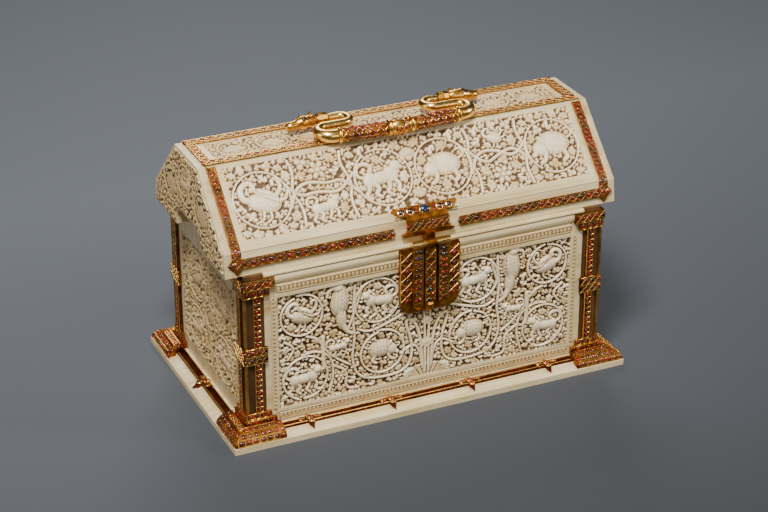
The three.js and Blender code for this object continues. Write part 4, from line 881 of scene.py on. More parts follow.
for sx, hand in hands:
    f = newField(-gable["half"], gable["half"], 0, gable["height"], gable["cell"], gable["full"])
    pattern(f, gable["seed"] + sx, gable["rings"], gable["gaps"])
    reliefSlab("lid_%s_end_carving" % hand, f, (sx * gable["face"], 0, gable["foot"]), (0, sx, 0), (0, 0, 1),
               gable["lift"], gable["thick"], "lid", ivoryWorn, insideGable)
print("ends, back and top carved")

# Leaf rows along the front panel's mouldings, and a narrow one up each side

rows = {"cell": 0.34, "pitch": 3.0, "half": 111.5, "full": 1.0, "floor": 0.25, "lift": 0.03, "thick": 1.0,
        "columnX": 113.9, "columnHalf": 1.6}


def leafRow(name, start, end, low, high, across=(1, 0, 0), up=(0, 0, 1), upside=1):
    f = newField(start, end, low, high, rows["cell"], rows["full"])
    f["h"][:] = rows["floor"]
    middle, tall = (low + high) / 2, high - low
    for x in np.arange(start + 1.5, end - 1, rows["pitch"]):
        dome(f, x, middle - upside * 0.2, 1.15, tall * 0.36, 0, 0.8, 0.4)
        dome(f, x + rows["pitch"] / 2, middle + upside * tall * 0.3, 0.75, top=0.7)
    for edge in (low + 0.55, high - 0.55):
        vine(f, [(start + 1, edge), (end - 1, edge)], 0.45, top=0.75)
    reliefSlab(name, f, (0, frontField["face"], 0), across, up, rows["lift"], rows["thick"], "box", ivoryWorn)


leafRow("front_leaf_row", -rows["half"], rows["half"], 107.4, 113.2)
leafRow("front_foot_row", -rows["half"], rows["half"], 10.6, 15.6, upside=-1)
for sx, hand in hands:
    # this row's own x runs up the panel and its y to the left
    middle = -sx * rows["columnX"]
    leafRow("front_column_" + hand, frontField["low"], frontField["high"],
            middle - rows["columnHalf"], middle + rows["columnHalf"], (0, 0, 1), (-1, 0, 0))
print("leaf rows set")

# Gem cells: small templates modelled once, then copied along the strips

toMetres = Matrix.Scale(mm, 4)


def settled(thing, material, name="part"):
    thing.name = thing.data.name = name
    thing.data.transform(thing.matrix_world)
    thing.matrix_world = Matrix.Identity(4)
    thing.data.materials.clear()
    thing.data.materials.append(material)
    return thing


def box(low, high, material, bevel=0.25):
    bare()
    bpy.ops.mesh.primitive_cube_add(size=1)
    block = bpy.context.object
    low, high = Vector(map(min, low, high)), Vector(map(max, low, high))
    block.data.transform(Matrix.Translation((low + high) / 2) @ Matrix.Diagonal((*(high - low), 1)))
    settled(block, material)
    if bevel:
        bpy.ops.object.mode_set(mode="EDIT")
        bpy.ops.mesh.select_all(action="SELECT")
        bpy.ops.mesh.bevel(offset=bevel, segments=2)
        bpy.ops.object.mode_set(mode="OBJECT")
    return block


def scaled(thing):
    thing.data.transform(toMetres)
    return thing


def wire(start, end, radius, material, sides=6):
    start, end = Vector(start), Vector(end)
    bare()
    bpy.ops.mesh.primitive_cylinder_add(vertices=sides, radius=radius, depth=(end - start).length)
    rod = bpy.context.object
    rod.rotation_euler = (end - start).to_track_quat("Z", "X").to_euler()
    rod.location = (start + end) / 2
    bpy.context.view_layer.update()
    return settled(rod, material)


def placed(thing, place):
    thing.data.transform(place)
    return thing


def rims(place, start, end, apart, radius=0.42, rise=0.1):
    # raised bright edges on both sides of a strip
    edges = []
    for side in (-apart, apart):
        edges.append(placed(wire((start, side, rise), (end, side, rise), radius, giltBright), place))
    return edges


def stone(place, size, material, segments=8):
    bare()
    bpy.ops.mesh.primitive_uv_sphere_add(segments=segments, ring_count=6, radius=1, location=(0, 0, 0))
    gem = bpy.context.object
    bpy.ops.object.mode_set(mode="EDIT")
    bpy.ops.mesh.select_all(action="SELECT")
    bpy.ops.mesh.bisect(plane_co=(0, 0, -0.2), plane_no=(0, 0, 1), clear_inner=True, use_fill=True)
    bpy.ops.object.mode_set(mode="OBJECT")
    bpy.ops.object.shade_smooth()
    gem.data.transform(Matrix.Translation(place) @ Matrix.Diagonal((*size, 1)))
    return settled(gem, material)


def joined(parts, name):
    bare()
    for part in parts:
        part.select_set(True)
    bpy.context.view_layer.objects.active = parts[0]
    if len(parts) > 1:
        bpy.ops.object.join()
    whole = bpy.context.object
    whole.name = whole.data.name = name
    return whole


def copied(template, matrix):
    new = template.copy()
    new.data = template.data.copy()
    new.data.transform(matrix)
    bpy.context.collection.objects.link(new)
    return new


def frameOf(start, end, normal):
    # a line on a face as a matrix in metres: x along it, z outwards; and its length in mm
    start, along = Vector(start), (Vector(end) - Vector(start))
    length = along.length
    along.normalize()
    normal = Vector(normal).normalized()
    across = normal.cross(along)
    place = Matrix((along, across, normal)).transposed().to_4x4()
    place.translation = start
    return toMetres @ place, length


def shifted(place, x, y=0, z=0, size=(1, 1, 1)):
    return place @ Matrix.Translation((x, y, z)) @ Matrix.Diagonal((*size, 1))


def mounted(parts, name, body, node=None):
    whole = joined(parts, name)
    if node:
        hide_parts(node)
    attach(whole, body)


lattice = {"pitch": 6.3, "width": 6.8, "wire": 0.36, "rise": 0.5, "middle": (0.27, 0.52, 0.95),
           "side": (0.22, 0.26, 0.6), "sideAt": 0.64}
square = {"pitch": 4.0, "width": 4.6, "wire": 0.34, "wireRise": 0.15, "stone": (0.34, 0.66, 0.7)}


def latticeCell(gem):
    # crossing wires make a whole diamond round the cell's start and a triangle at each side of its middle
    pitch, h, rise = lattice["pitch"], lattice["width"] / 2 - 0.5, lattice["rise"]
    long, wide, high = lattice["middle"]
    sideLong, sideWide, sideHigh = lattice["side"]
    parts = [
        wire((0, -h, rise), (pitch, h, rise), lattice["wire"], giltBright),
        wire((0, h, rise), (pitch, -h, rise), lattice["wire"], giltBright),
        stone((0, 0, 0), (pitch * long, h * wide, high), gem),
    ]
    for side in (1, -1):
        place = (pitch / 2, side * h * lattice["sideAt"], 0)
        parts.append(stone(place, (pitch * sideLong, h * sideWide, sideHigh), garnet, 6))
    return joined(parts, "latticeCell")


def squareCell():
    pitch, h, rise = square["pitch"], square["width"] / 2, square["wireRise"]
    long, wide, high = square["stone"]
    parts = [wire((0, -h, rise), (0, h, rise), square["wire"], giltBright),
             stone((pitch / 2, 0, 0), (pitch * long, h * wide, high), garnet)]
    return joined(parts, "squareCell")


def strip(name, start, end, normal, width, body, template, pitch, cross=1.0):
    # cells set along a line on a face, between two raised edges
    place, length = frameOf(start, end, normal)
    count = max(1, round(length / pitch))
    size = (length / count / pitch, cross, 1)
    parts = [copied(template, shifted(place, i * length / count, size=size)) for i in range(count)]
    mounted(parts + rims(place, 0, length, width / 2 - 0.32), name, body)


redCell, darkCell, squareRed = latticeCell(garnet), latticeCell(sapphire), squareCell()

# Jewelled strips of the lid and the posts

lid = {
    "skirtFoot": 123.7, "skirtRise": 16.5, "skirtHalf": 69, "slopeFoot": 140.2, "slopeHalf": 66.7,
    "lean": 2.3, "slopeOut": (0.7023, 0.7119), "skirtOut": (0.9904, 0.1381),
    "lift": 1.0,  # the strips' thickness, on which the cells stand
    "width": 6.8, "endX": 137.2, "eaveRise": 8.5, "eaveInner": 25, "eaveOuter": 138, "slopeEnds": (1, 61.5),
    "ridgeHalf": 140, "ridgeY": 18.3, "top": 184, "crossHalf": 14.4, "stepRise": (16.4, 12.3), "stepHalf": 3.4,
    "tipX": (139.6, 143),
}
sides = ((-1, "front"), (1, "back"))


def onSkirt(x, rise, lift, side):
    leanY, leanZ = Vector((-lid["skirtRise"], lid["lean"])).normalized()
    out = Vector((0, side * -leanY, leanZ))
    return Vector((x, side * (lid["skirtHalf"] - lid["lean"] * rise / lid["skirtRise"]),
                   lid["skirtFoot"] + rise)) + out * lift


def onSlope(x, s, lift, side):
    outY, outZ = lid["slopeOut"]
    out = Vector((0, side * outY, outZ))
    return Vector((x, side * (lid["slopeHalf"] - outZ * s), lid["slopeFoot"] + outY * s)) + out * lift


def outwards(kind, side):
    return 0, side * lid[kind][0], lid[kind][1]


def lidStrip(name, start, end, normal):
    strip(name, start, end, normal, lid["width"], "lid", redCell, lattice["pitch"])


def stepPiece(name, hand, side):
    # the short cell that leads from the slope strip down to the eave strip, on its own plate
    high, low = (onSkirt(hand * lid["endX"], rise, 0, side) for rise in lid["stepRise"])
    place, length = frameOf(high, low, outwards("skirtOut", side))
    plate = placed(box((0, -lid["stepHalf"], 0.02), (length, lid["stepHalf"], lid["lift"]), giltDark), place)
    cell = copied(redCell, shifted(place, 0, 0, lid["lift"], (length / lattice["pitch"], 1, 1)))
    mounted([plate, cell], name, "lid")


def tipPiece(name, hand):
    # a cluster of stones on the eave strip's pointed end
    start, end = (onSkirt(hand * x, lid["eaveRise"], lid["lift"], -1) for x in lid["tipX"])
    place, _ = frameOf(start, end, outwards("skirtOut", -1))
    tips = []
    for x, y, reach, high, finish in ((0, 0, 2.3, 0.6, giltBright), (0, 0, 1.7, 0.9, garnet),
                                      (-2.4, 2.4, 0.9, 0.9, garnet), (-2.4, -2.4, 0.9, 0.9, garnet),
                                      (2.5, 0, 0.8, 0.9, garnet)):
        tips.append(placed(stone((x, y, 0), (reach, reach, high), finish, 12), place))
    mounted(tips, name, "lid")


lift, endX, ridgeZ = lid["lift"], lid["endX"], lid["top"] + lid["lift"]
for side, name in sides:
    for hand, word in hands:
        foot, head = (onSlope(hand * endX, s, lift, side) for s in lid["slopeEnds"])
        lidStrip("slope_gems_%s_%s" % (name, word), foot, head, outwards("slopeOut", side))
    lidStrip("ridge_gems_" + name, (-lid["ridgeHalf"], side * lid["ridgeY"], ridgeZ),
             (lid["ridgeHalf"], side * lid["ridgeY"], ridgeZ), (0, 0, 1))
for side, name in sides:
    for hand, word in hands:
        stepPiece("strip_step_%s_%s" % (name, word), hand, side)
for hand, word in hands:
    inner, outer = (onSkirt(hand * lid[x], lid["eaveRise"], lift, -1) for x in ("eaveInner", "eaveOuter"))
    lidStrip("eave_gems_" + word, inner, outer, outwards("skirtOut", -1))
    lidStrip("cross_gems_" + word, (hand * endX, -lid["crossHalf"], ridgeZ),
             (hand * endX, lid["crossHalf"], ridgeZ), (0, 0, 1))
for hand, word in hands:
    tipPiece("eave_tip_" + word, hand)
for word in ("left", "middle", "right"):
    low, high = [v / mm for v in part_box("eave_strip_back_" + word)]
    left, right = (onSkirt(x, lid["eaveRise"], lift, 1) for x in (low.x, high.x))
    lidStrip("eave_gems_back_" + word, left, right, outwards("skirtOut", 1))

postStrip = {"width": 5.4, "bandFoot": 57.5, "bandHead": 69.9, "off": 0.02}
for side, end in sides:
    for hand, word in hands:
        for kind, axis in (("strip", 1), ("end_strip", 0)):
            # the strip's outer face looks along y in front and behind, and along x at the ends
            node = "%s_%s_%s" % (end, word, kind)
            low, high = [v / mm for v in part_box(node)]
            face, way = (low + high) / 2, (hand, side)[axis]
            face[axis] = way * (max(abs(low[axis]), abs(high[axis])) + postStrip["off"])
            normal = (way, 0, 0) if axis == 0 else (0, way, 0)
            for a, b in ((low.z, postStrip["bandFoot"]), (postStrip["bandHead"], high.z)):
                strip("%s_gems_%d" % (node, a), (face.x, face.y, a), (face.x, face.y, b), normal,
                      postStrip["width"], "box", squareRed, square["pitch"])
print("gem strips set")

# Gilt frames of the posts: each row an angle of plate round the corner, set with cells

gilt = {
    "x": 134.3, "y": 71.3, "foot": 9.3, "head": 120.7, "plate": 0.9, "leg": 1.8, "plateBevel": 0.2,
    "mitre": 0.6, "end": 0.5, "off": 0.02, "cellGap": 0.9, "cellRim": 0.6, "rim": 0.3,
    # name: foot, head, reach from the corner, thickness, cells along, rows up
    "rows": {
        "capital": (113.5, 120.7, 22.2, 1.9, 4, 1), "neck": (107.7, 113.5, 18.5, 1.4, 4, 1),
        "band": (57.7, 69.7, 16.2, 1.4, 3, 2), "ankle": (15.3, 20.1, 18.2, 1.4, 4, 1),
        "foot": (9.3, 15.3, 21.7, 1.9, 5, 1),
    },
}


def cornerLine(sx, sy, start, end, z, face):
    # a level line on the face of a corner, given as for the corner at +x and +y
    (x0, y0), (x1, y1), (outX, outY, outZ) = start, end, face
    return frameOf((sx * x0, sy * y0, z), (sx * x1, sy * y1, z), (sx * outX, sy * outY, outZ))


def cornerFrame(sx, sy, name):
    x, y, foot, head, bevel = (gilt[key] for key in ("x", "y", "foot", "head", "plateBevel"))
    edgeX, edgeY = x + gilt["plate"], y + gilt["plate"]
    parts = [
        box((sx * x, sy * y, foot), (sx * edgeX, sy * (edgeY - gilt["leg"]), head), giltWarm, bevel),
        box((sx * edgeX, sy * y, foot), (sx * (edgeX - gilt["leg"]), sy * edgeY, head), giltWarm, bevel),
    ]
    cells = []
    for row, (foot, head, reach, thick, along, up) in gilt["rows"].items():
        outX, outY, innerX, innerY = x + thick, y + thick, edgeX - reach, edgeY - reach
        parts.append(box((sx * innerX, sy * y, foot), (sx * outX, sy * outY, head), giltDark))
        parts.append(box((sx * x, sy * innerY, foot), (sx * outX, sy * (outY - gilt["off"]), head), giltDark))
        high = (head - foot) / up
        cell, size = (redCell, lattice) if row in ("capital", "band") else (squareRed, square)
        cross = (high - gilt["cellGap"]) / (size["width"] - gilt["cellRim"])
        faceX, faceY = outX + gilt["off"], outY + gilt["off"]
        for k in range(up):
            z = foot + high * (k + 0.5)
            for start, end, face in (
                    ((outX - gilt["mitre"], faceY), (innerX + gilt["end"], faceY), (0, 1, 0)),
                    ((faceX, outY - gilt["mitre"]), (faceX, innerY + gilt["end"]), (1, 0, 0))):
                place, length = cornerLine(sx, sy, start, end, z, face)
                step = length / along
                for i in range(along):
                    cells.append(copied(cell, shifted(place, i * step, size=(step / size["pitch"], cross, 1))))
                cells += rims(place, 0, length, high / 2 - gilt["rim"])
    mounted([scaled(part) for part in parts] + cells, name + "_frame_jewelled", "box", node=name + "_frame")


for sy, end in sides:
    for sx, hand in hands:
        cornerFrame(sx, sy, "%s_%s" % (end, hand))
print("corner frames set")

# Plinth corner mounts: three rows of square cells over the quarter-round, a larger stone at each row's end

mount = {
    "angles": (14, 44, 74), "inner": 2.2, "margin": 0.6, "foot": 5.2, "head": 12.45, "endX": 116, "endY": 53,
    "mitre": 1.5, "off": 0.05, "cellsX": 6, "cellsY": 8, "cross": 0.93, "rim": 2.1, "rimRadius": 0.45,
    "stoneAt": 1.8, "stone": (1.3, 1.7, 0.8),
}


def mountCells(sx, sy, name):
    low, high = [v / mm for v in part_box(name + "_plinth_mount")]
    baseX, baseY = gilt["x"] + gilt["plate"], gilt["y"] + gilt["plate"]
    wide = max(abs(low.y), abs(high.y)) - baseY - mount["inner"] - mount["margin"]
    tall = mount["head"] - mount["foot"]
    parts = []
    for angle in mount["angles"]:
        c, s = math.cos(math.radians(angle)), math.sin(math.radians(angle))
        out, z = mount["inner"] + wide * c, mount["foot"] + tall * s
        x, y, off = baseX + out, baseY + out, mount["off"]
        level, upward, mitre = c / wide, s / tall, mount["mitre"]
        for start, end, face, count in (
                ((x - mitre, y + off), (mount["endX"], y + off), (0, level, upward), mount["cellsX"]),
                ((x + off, y - mitre), (x + off, mount["endY"]), (level, 0, upward), mount["cellsY"])):
            place, length = cornerLine(sx, sy, start, end, z, face)
            size = (length / count / square["pitch"], mount["cross"], 1)
            for i in range(count):
                parts.append(copied(squareRed, shifted(place, length * i / count, size=size)))
            parts += rims(place, 0, length, mount["rim"], mount["rimRadius"])
            parts.append(copied(bigStone, shifted(place, length + mount["stoneAt"])))
    mounted(parts, name + "_mount_cells", "box")


bigStone = stone((0, 0, 0), mount["stone"], garnet)
for sy, end in sides:
    for sx, hand in hands:
        mountCells(sx, sy, "%s_%s" % (end, hand))
print("plinth mounts set")

# Rails: gilt edges along the dark channel, and lobed clips with a stone

rail = {
    "z": 7.7, "across": 2.7, "radius": 0.5, "rise": 1.7, "halfLong": 111.6, "y": 76.5, "halfShort": 48.6,
    "x": 139.5, "clips": (-91.5, -30.5, 30.5, 91.5),
    # a clip's lobes and stones: place along, across and up, half length, half width, bulge, finish
    "clip": (
        (-5.6, 0, 2.1, 2.9, 2.3, 0.8, giltBright), (5.6, 0, 2.1, 2.9, 2.3, 0.8, giltBright),
        (0, 2.4, 2.1, 2.4, 1.8, 0.8, giltBright), (0, -3.6, 2.3, 2.4, 3.0, 0.8, giltBright),
        (0, 0, 2.3, 2.7, 2.3, 0.9, giltWarm), (0, 0, 2.9, 1.9, 1.6, 0.9, garnet),
        (-5.8, 0, 2.7, 1.2, 1.0, 0.7, garnet), (5.8, 0, 2.7, 1.2, 1.0, 0.7, garnet),
        (0, -4.2, 2.9, 1.1, 1.3, 0.7, garnet),
    ),
}


def railTrim(name, half, x, y, turn, places):
    place = toMetres @ Matrix.Translation((x, y, rail["z"])) @ Matrix.Rotation(turn, 4, "Z")
    parts = rims(place, -half, half, rail["across"], rail["radius"], rail["rise"])
    for at in places:
        for dx, dy, z, rx, ry, high, finish in rail["clip"]:
            parts.append(placed(stone((at + dx, dy, z), (rx, ry, high), finish, 12), place))
    mounted(parts, name + "_trim", "box")


railTrim("front_rail", rail["halfLong"], 0, -rail["y"], 0, rail["clips"])
railTrim("back_rail", rail["halfLong"], 0, rail["y"], math.pi, rail["clips"])
railTrim("left_rail", rail["halfShort"], -rail["x"], 0, -math.pi / 2, [0])
railTrim("right_rail", rail["halfShort"], rail["x"], 0, math.pi / 2, [0])
print("rails trimmed")

# Lock and hasp

hasp = {
    "x": 9.7, "axisY": -75.2, "axisZ": 124.3,
    # a tongue's plates: half width, foot, head, inner and outer face, finish
    "plates": ((3.9, 75.4, 123.5, -74.4, -75.7, giltDark), (3.9, 75.4, 122.5, -75.4, -76.2, giltWarm),
               (3.15, 76.2, 121.5, -76.0, -76.25, giltDark)),
    "knuckle": (3.5, 14.3, 2.3), "pin": 0.9, "face": -76.3, "rowHead": 120, "rowFoot": 79, "rows": 9,
    "dotsApart": 1.6, "blueRows": 2, "garnetDot": (1.35, 1.0, 0.75), "sapphireDot": (1.5, 1.15, 0.9),
}


def roundPlate(x, half, foot, head, y0, y1, material):
    # a plate whose foot is rounded to a half circle
    plate = box((x - half, y0, foot), (x + half, y1, head), material, 0)
    bpy.ops.object.mode_set(mode="EDIT")
    bpy.ops.mesh.select_all(action="DESELECT")
    bpy.ops.object.mode_set(mode="OBJECT")
    for edge in plate.data.edges:
        a, b = (plate.data.vertices[i].co for i in edge.vertices)
        edge.select = max(a.z, b.z) < foot + 0.1 and abs(a.y - b.y) > 0.1
    bpy.ops.object.mode_set(mode="EDIT")
    bpy.ops.mesh.select_mode(type="EDGE")
    bpy.ops.mesh.bevel(offset=half * 0.98, segments=6)
    bpy.ops.object.mode_set(mode="OBJECT")
    return plate


def pinWire(x0, x1, radius, material, sides):
    y, z = hasp["axisY"], hasp["axisZ"]
    return wire((x0, y, z), (x1, y, z), radius, material, sides)


def tongueStones(sx):
    # pairs of small stones down the tongue, with ribs that fork on the right tongue and cross the left one
    place, length = frameOf((sx * hasp["x"], hasp["face"], hasp["rowHead"]),
                            (sx * hasp["x"], hasp["face"], hasp["rowFoot"]), (0, -1, 0))
    ribs = (((1, 0), (4.2, -3), 0.3), ((1, 0), (4.2, 3), 0.3)) if sx > 0 else (((4, -3), (4, 3), 0.25),)
    parts = []
    for i in range(hasp["rows"]):
        at = length * i / hasp["rows"]
        for across in (-hasp["dotsApart"], hasp["dotsApart"]):
            gem = sapphireDot if i < hasp["blueRows"] else garnetDot
            parts.append(copied(gem, shifted(place, at + 1.5, across)))
        for (x0, y0), (x1, y1), radius in ribs:
            parts.append(placed(wire((at + x0, y0, 0.1), (at + x1, y1, 0.1), radius, giltBright), place))
    return parts


def buildHasp():
    parts = []
    inner, outer, radius = hasp["knuckle"]
    for sx in (-1, 1):
        for half, foot, head, y0, y1, finish in hasp["plates"]:
            parts.append(roundPlate(sx * hasp["x"], half, foot, head, y0, y1, finish))
        parts.append(pinWire(sx * inner, sx * outer, radius, giltBright, 24))
    parts.append(pinWire(-inner, inner, hasp["pin"], giltWarm, 12))
    parts = [scaled(part) for part in parts] + tongueStones(-1) + tongueStones(1)
    mounted(parts, "hasp_jewelled", "hasp", "hasp")


garnetDot = stone((0, 0, 0), hasp["garnetDot"], garnet)
sapphireDot = stone((0, 0, 0), hasp["sapphireDot"], sapphire)
buildHasp()

lock = {"rimX": 17.7, "rimFace": -74.02, "rimFoot": 82, "rimHead": 119.6, "rimWidth": 9.4, "rimPitch": 7.5,
        "rimCross": 1.35, "face": -75.02, "foot": 80, "head": 119, "width": 8, "pitch": 7.8, "cross": 1.12}
for sx, hand in hands:
    x, face = sx * lock["rimX"], lock["rimFace"]
    strip("lock_rim_gems_" + hand, (x, face, lock["rimFoot"]), (x, face, lock["rimHead"]), (0, -1, 0),
          lock["rimWidth"], "box", redCell, lock["rimPitch"], lock["rimCross"])
strip("lock_strip_gems", (0, lock["face"], lock["foot"]), (0, lock["face"], lock["head"]), (0, -1, 0),
      lock["width"], "box", darkCell, lock["pitch"], lock["cross"])

bar = {
    "half": 21.5, "s": 4.5, "lift": 2.0, "bezel": 0.55, "widest": 3.0, "rim": 3.1, "rimRadius": 0.5, "over": 2,
    # place along the bar, radius, stone
    "stones": ((3.5, 2.0, sapphire), (10.5, 2.3, garnet), (21.5, 3.7, sapphire), (32.5, 2.3, garnet),
               (39.5, 2.0, sapphire)),
    "dots": (7, 15, 28, 36), "dotsApart": 1.5,
    "blockHalf": 15, "blockFace": -71.05, "blockZ": 136, "blockWidth": 8, "blockPitch": 5, "blockCross": 1.1,
}


def haspBar():
    # the bar on the slope that the hasp's strap ends in: large stones in bezels, small ones between them
    left, right = (onSlope(x, bar["s"], bar["lift"], -1) for x in (-bar["half"], bar["half"]))
    place, length = frameOf(left, right, outwards("slopeOut", -1))
    parts = []
    for at, reach, material in bar["stones"]:
        for size, height, finish in ((reach + bar["bezel"], 0.5, giltBright), (reach, 1.6, material)):
            gem = stone((0, 0, 0), (size, min(size, bar["widest"]), height), finish, 16)
            parts.append(placed(gem, shifted(place, at)))
    for at in bar["dots"]:
        for across in (-bar["dotsApart"], bar["dotsApart"]):
            parts.append(copied(garnetDot, shifted(place, at, across)))
    parts += rims(place, -bar["over"], length + bar["over"], bar["rim"], bar["rimRadius"])
    mounted(parts, "hasp_bar_gems", "lid")


haspBar()
strip("hasp_block_gems", (-bar["blockHalf"], bar["blockFace"], bar["blockZ"]),
      (bar["blockHalf"], bar["blockFace"], bar["blockZ"]), (0, -1, 0), bar["blockWidth"], "lid", redCell,
      bar["blockPitch"], bar["blockCross"])
print("lock set")

# Handle

grip = {
    "barY": -25.5, "bow": 2.6, "barZ": 190.2, "bend": 49.5, "armY": -9.0, "pivotY": 4.0, "pivotZ": 192.0,
    "inner": 35.0, "half": 48, "core": 4.35, "barRadius": 4.7, "armRadius": 3.1, "endRadius": 2.6,
    "collars": (8.6, 44.5), "collar": ((-1.5, 4.6), (-1.0, 5.4), (-0.2, 5.7), (0.6, 5.4), (1.0, 4.6)),
    "knop": (8, 0.35, 48.2), "gem": (1.5, 1.55, 1.0),
}
# the swelling in the bar's middle: half length, radius of its core, swell, crossing wires, stones round it
swelling = {"half": 7, "core": 4.3, "swell": 1.5, "wireHalf": 6.5, "wires": 4, "wireRadius": 0.42,
            "wireAt": 4.5, "stonesX": (-3.2, 0, 3.2), "stones": 8, "stoneAt": (5.3, 5.75), "stoneSize": 0.85}
net = {"start": 11.0, "end": 43.0, "wires": 5, "steps": 44, "turn": 29.5, "at": 4.7, "radius": 0.34,
       "row": 2.95, "stoneAt": 4.35}
# a beast's head: places along its length and radii, from neck rings over the brow to the muzzle
beast = {
    "start": 51.2, "length": 22, "droop": 2.0, "slim": 0.95, "neckFrom": 40, "neck": 2.5,
    "gem": (1.3, 1.3, 1.0),
    "profile": ((0, 3.2), (0.08, 4.4), (0.14, 3.9), (0.2, 4.9), (0.27, 4.3), (0.36, 5.3), (0.46, 5.2),
                (0.56, 4.1), (0.68, 3.5), (0.8, 3.6), (0.92, 3.2), (0.98, 1.6)),
    # past the start, across from the middle, height
    "eye": (9.4, 3.6, 3.1, 195.2), "nostril": (14.5, 3.4, 1.6, 193.8), "nostrilSize": 0.7,
    "earFoot": (3.5, 3, 194.5), "earTip": (0.8, 5.0, 195.6), "ear": 1.1,
}
alongBar = Vector((1, 0, 0))


def tube(points, radii, material, sides=5):
    # a round rod through points, with its own radius at each
    curve = bpy.data.curves.new("tube", "CURVE")
    curve.dimensions = "3D"
    curve.bevel_depth = 1
    curve.bevel_resolution = sides
    curve.use_fill_caps = True
    spline = curve.splines.new("POLY")
    spline.points.add(len(points) - 1)
    for point, place, radius in zip(spline.points, points, radii):
        point.co, point.radius = (*place, 1), radius
    rod = bpy.data.objects.new("tube", curve)
    bpy.context.collection.objects.link(rod)
    bare()
    rod.select_set(True)
    bpy.context.view_layer.objects.active = rod
    bpy.ops.object.convert(target="MESH")
    rod = bpy.context.object
    bpy.ops.object.shade_smooth()
    return settled(rod, material, "tube")


def barAt(x):
    return Vector((x, grip["barY"] + grip["bow"] * (x / grip["bend"]) ** 2, grip["barZ"]))


def spoke(share):
    # the way out from the bar's middle line, by the share of a whole turn round it
    a = 2 * math.pi * share
    return Vector((0, math.cos(a), math.sin(a)))


def gemAt(place, out, size=1.0):
    turn = Matrix((alongBar, out.cross(alongBar).normalized(), out)).transposed().to_4x4()
    turn.translation = place
    return copied(barGem, toMetres @ turn @ Matrix.Scale(size, 4))


def winding(start, end, share, turns, at, radius, steps):
    # a wire wound round the bar from one place to the other; its distance from the middle line is a function
    points = []
    for i in range(steps + 1):
        t = i / steps
        points.append(barAt(start + (end - start) * t) + spoke(share + turns * t) * at(t))
    return tube(points, [radius] * len(points), giltBright, sides=0)


def handleMiddle():
    parts, gems = [], []
    half, swell = swelling["half"], swelling["swell"]
    shares = np.linspace(0, 1, 15)
    parts.append(tube([barAt(x) for x in np.linspace(-half, half, 15)],
                      [swelling["core"] + swell * math.sin(math.pi * t) ** 0.6 for t in shares], giltWarm))
    for way in (-0.5, 0.5):
        for k in range(swelling["wires"]):
            parts.append(winding(-swelling["wireHalf"], swelling["wireHalf"], k / swelling["wires"], way,
                                 lambda t: swelling["wireAt"] + swell * math.sin(math.pi * t) ** 0.6,
                                 swelling["wireRadius"], 24))
    for x in swelling["stonesX"]:
        for k in range(swelling["stones"]):
            out = spoke((k + 0.5 * (x == 0)) / swelling["stones"])
            gems.append(gemAt(barAt(x) + out * swelling["stoneAt"][x == 0], out, swelling["stoneSize"]))
    return parts, gems


def handleSide(sx):
    # collars and the net of wires with a stone in each mesh
    parts, gems = [], []
    for x in grip["collars"]:
        places, radii = zip(*((barAt(sx * (x + d)), r) for d, r in grip["collar"]))
        parts.append(tube(places, radii, giltBright))
    start, end, wires = net["start"], net["end"], net["wires"]
    for way in (-1, 1):
        for k in range(wires):
            parts.append(winding(sx * start, sx * end, k / wires, way * (end - start) / net["turn"],
                                 lambda t: net["at"], net["radius"], net["steps"]))
    for i in range(1, int((end - start) / net["row"])):
        for k in range(wires):
            out = spoke((k + 0.5 * (i % 2)) / wires)
            gems.append(gemAt(barAt(sx * (start + net["row"] * i)) + out * net["stoneAt"], out))
    return parts, gems


def handleArm(sx):
    # the plain turned end, arm and inner turn in one smooth rod, and the gem-set knop over the eyelet
    points, radii = [barAt(sx * 46)], [grip["barRadius"]]
    endY = barAt(grip["bend"]).y
    r = (grip["armY"] - endY) / 2
    thinner, rise = grip["barRadius"] - grip["armRadius"], grip["pivotZ"] - grip["barZ"]
    for i in range(17):
        t = i / 16
        a = math.pi * (t - 0.5)
        points.append(Vector((sx * (grip["bend"] + r * math.cos(a)), endY + r + r * math.sin(a),
                              grip["barZ"] + rise * t)))
        radii.append(grip["barRadius"] - thinner * t)
    r = (grip["pivotY"] - grip["armY"]) / 2
    for i in range(17):
        a = -math.pi * (i / 16 + 0.5)
        points.append(Vector((sx * (grip["inner"] + r * math.cos(a)), grip["armY"] + r + r * math.sin(a),
                              grip["pivotZ"])))
        radii.append(grip["armRadius"])
    points.append(Vector((sx * 40.8, grip["pivotY"], grip["pivotZ"])))
    radii.append(grip["endRadius"])
    stones, flare, knopX = grip["knop"]
    gems = []
    for k in range(stones):
        out = spoke(k / stones)
        place = Vector((sx * knopX, grip["pivotY"], grip["pivotZ"])) + out * grip["armRadius"]
        gems.append(gemAt(place, Vector((flare, out.y, out.z)).normalized()))
    return [tube(points, radii, giltBright, sides=8)], gems


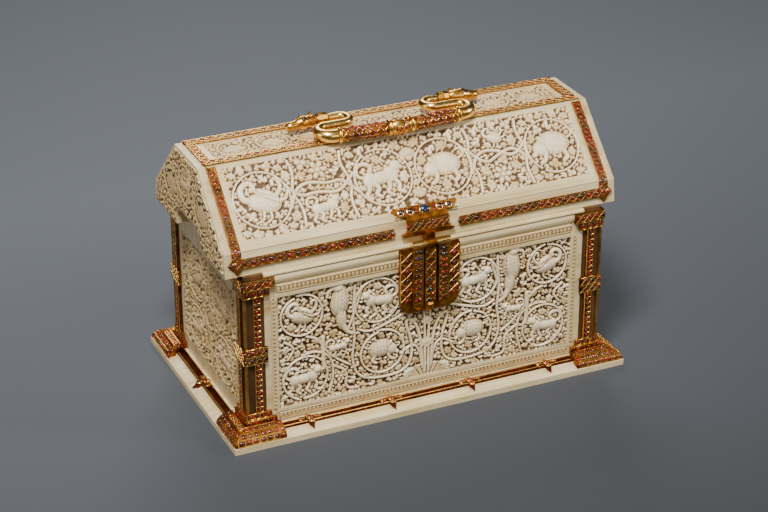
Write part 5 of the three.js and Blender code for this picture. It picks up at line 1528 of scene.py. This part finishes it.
def beastHead(sx):
    start, y, z, droop = beast["start"], grip["pivotY"], grip["pivotZ"], beast["droop"]
    shares, radii = zip(*beast["profile"])
    spine = [(sx * (start + beast["length"] * t), y - droop * t * t, z - droop * t * t) for t in shares]
    parts = [
        tube([(sx * beast["neckFrom"], y, z), (sx * (start + 2), y, z)], [beast["neck"]] * 2, giltWarm),
        tube(spine, [r * beast["slim"] for r in radii], giltWarm, sides=6),
    ]
    gems = []
    for side in (-1, 1):
        for (x, mid, across, high), size in ((beast["eye"], 1.0), (beast["nostril"], beast["nostrilSize"])):
            place = toMetres @ Matrix.Translation((sx * (start + x), mid + side * across, high))
            gems.append(copied(headGem, place @ Matrix.Scale(size, 4)))
        foot, tip = ((sx * (start + x), y + side * across, high)
                     for x, across, high in (beast["earFoot"], beast["earTip"]))
        parts.append(wire(foot, tip, beast["ear"], giltWarm, 8))
    return parts, gems


def buildHandle():
    core = [barAt(x) for x in np.linspace(-grip["half"], grip["half"], 49)]
    parts, gems = [tube(core, [grip["core"]] * len(core), giltDark)], []
    pieces = [handleMiddle()] + [make(sx) for sx in (-1, 1) for make in (handleSide, handleArm, beastHead)]
    for made, stones in pieces:
        parts += made
        gems += stones
    mounted([scaled(part) for part in parts] + gems, "handle_jewelled", "handle", "handle")


barGem = stone((0, 0, 0), grip["gem"], garnet)
headGem = stone((0, 0, 0), beast["gem"], sapphire)
buildHandle()
print("handle set")

# Finishes of the CAD nodes that stay in view


def finishOf(name):
    if name in ("plinth", "lid_top", "lid_front_skirt", "lid_back_skirt"):
        return ivoryPale
    if "post" in name:
        return hornBrown
    if "panel" in name or name.startswith("lid_"):
        return ivoryUpright
    if name.endswith("_rail"):
        return giltStained
    if name in ("handle", "hasp") or "hinge" in name or "eyelet" in name:
        return giltWarm
    return giltDark


for name, thing in cadNodes.items():
    thing.data.materials.clear()
    thing.data.materials.append(finishOf(name))

for template in (redCell, darkCell, squareRed, bigStone, garnetDot, sapphireDot, barGem, headGem):
    bpy.data.objects.remove(template)
print("finishes set")
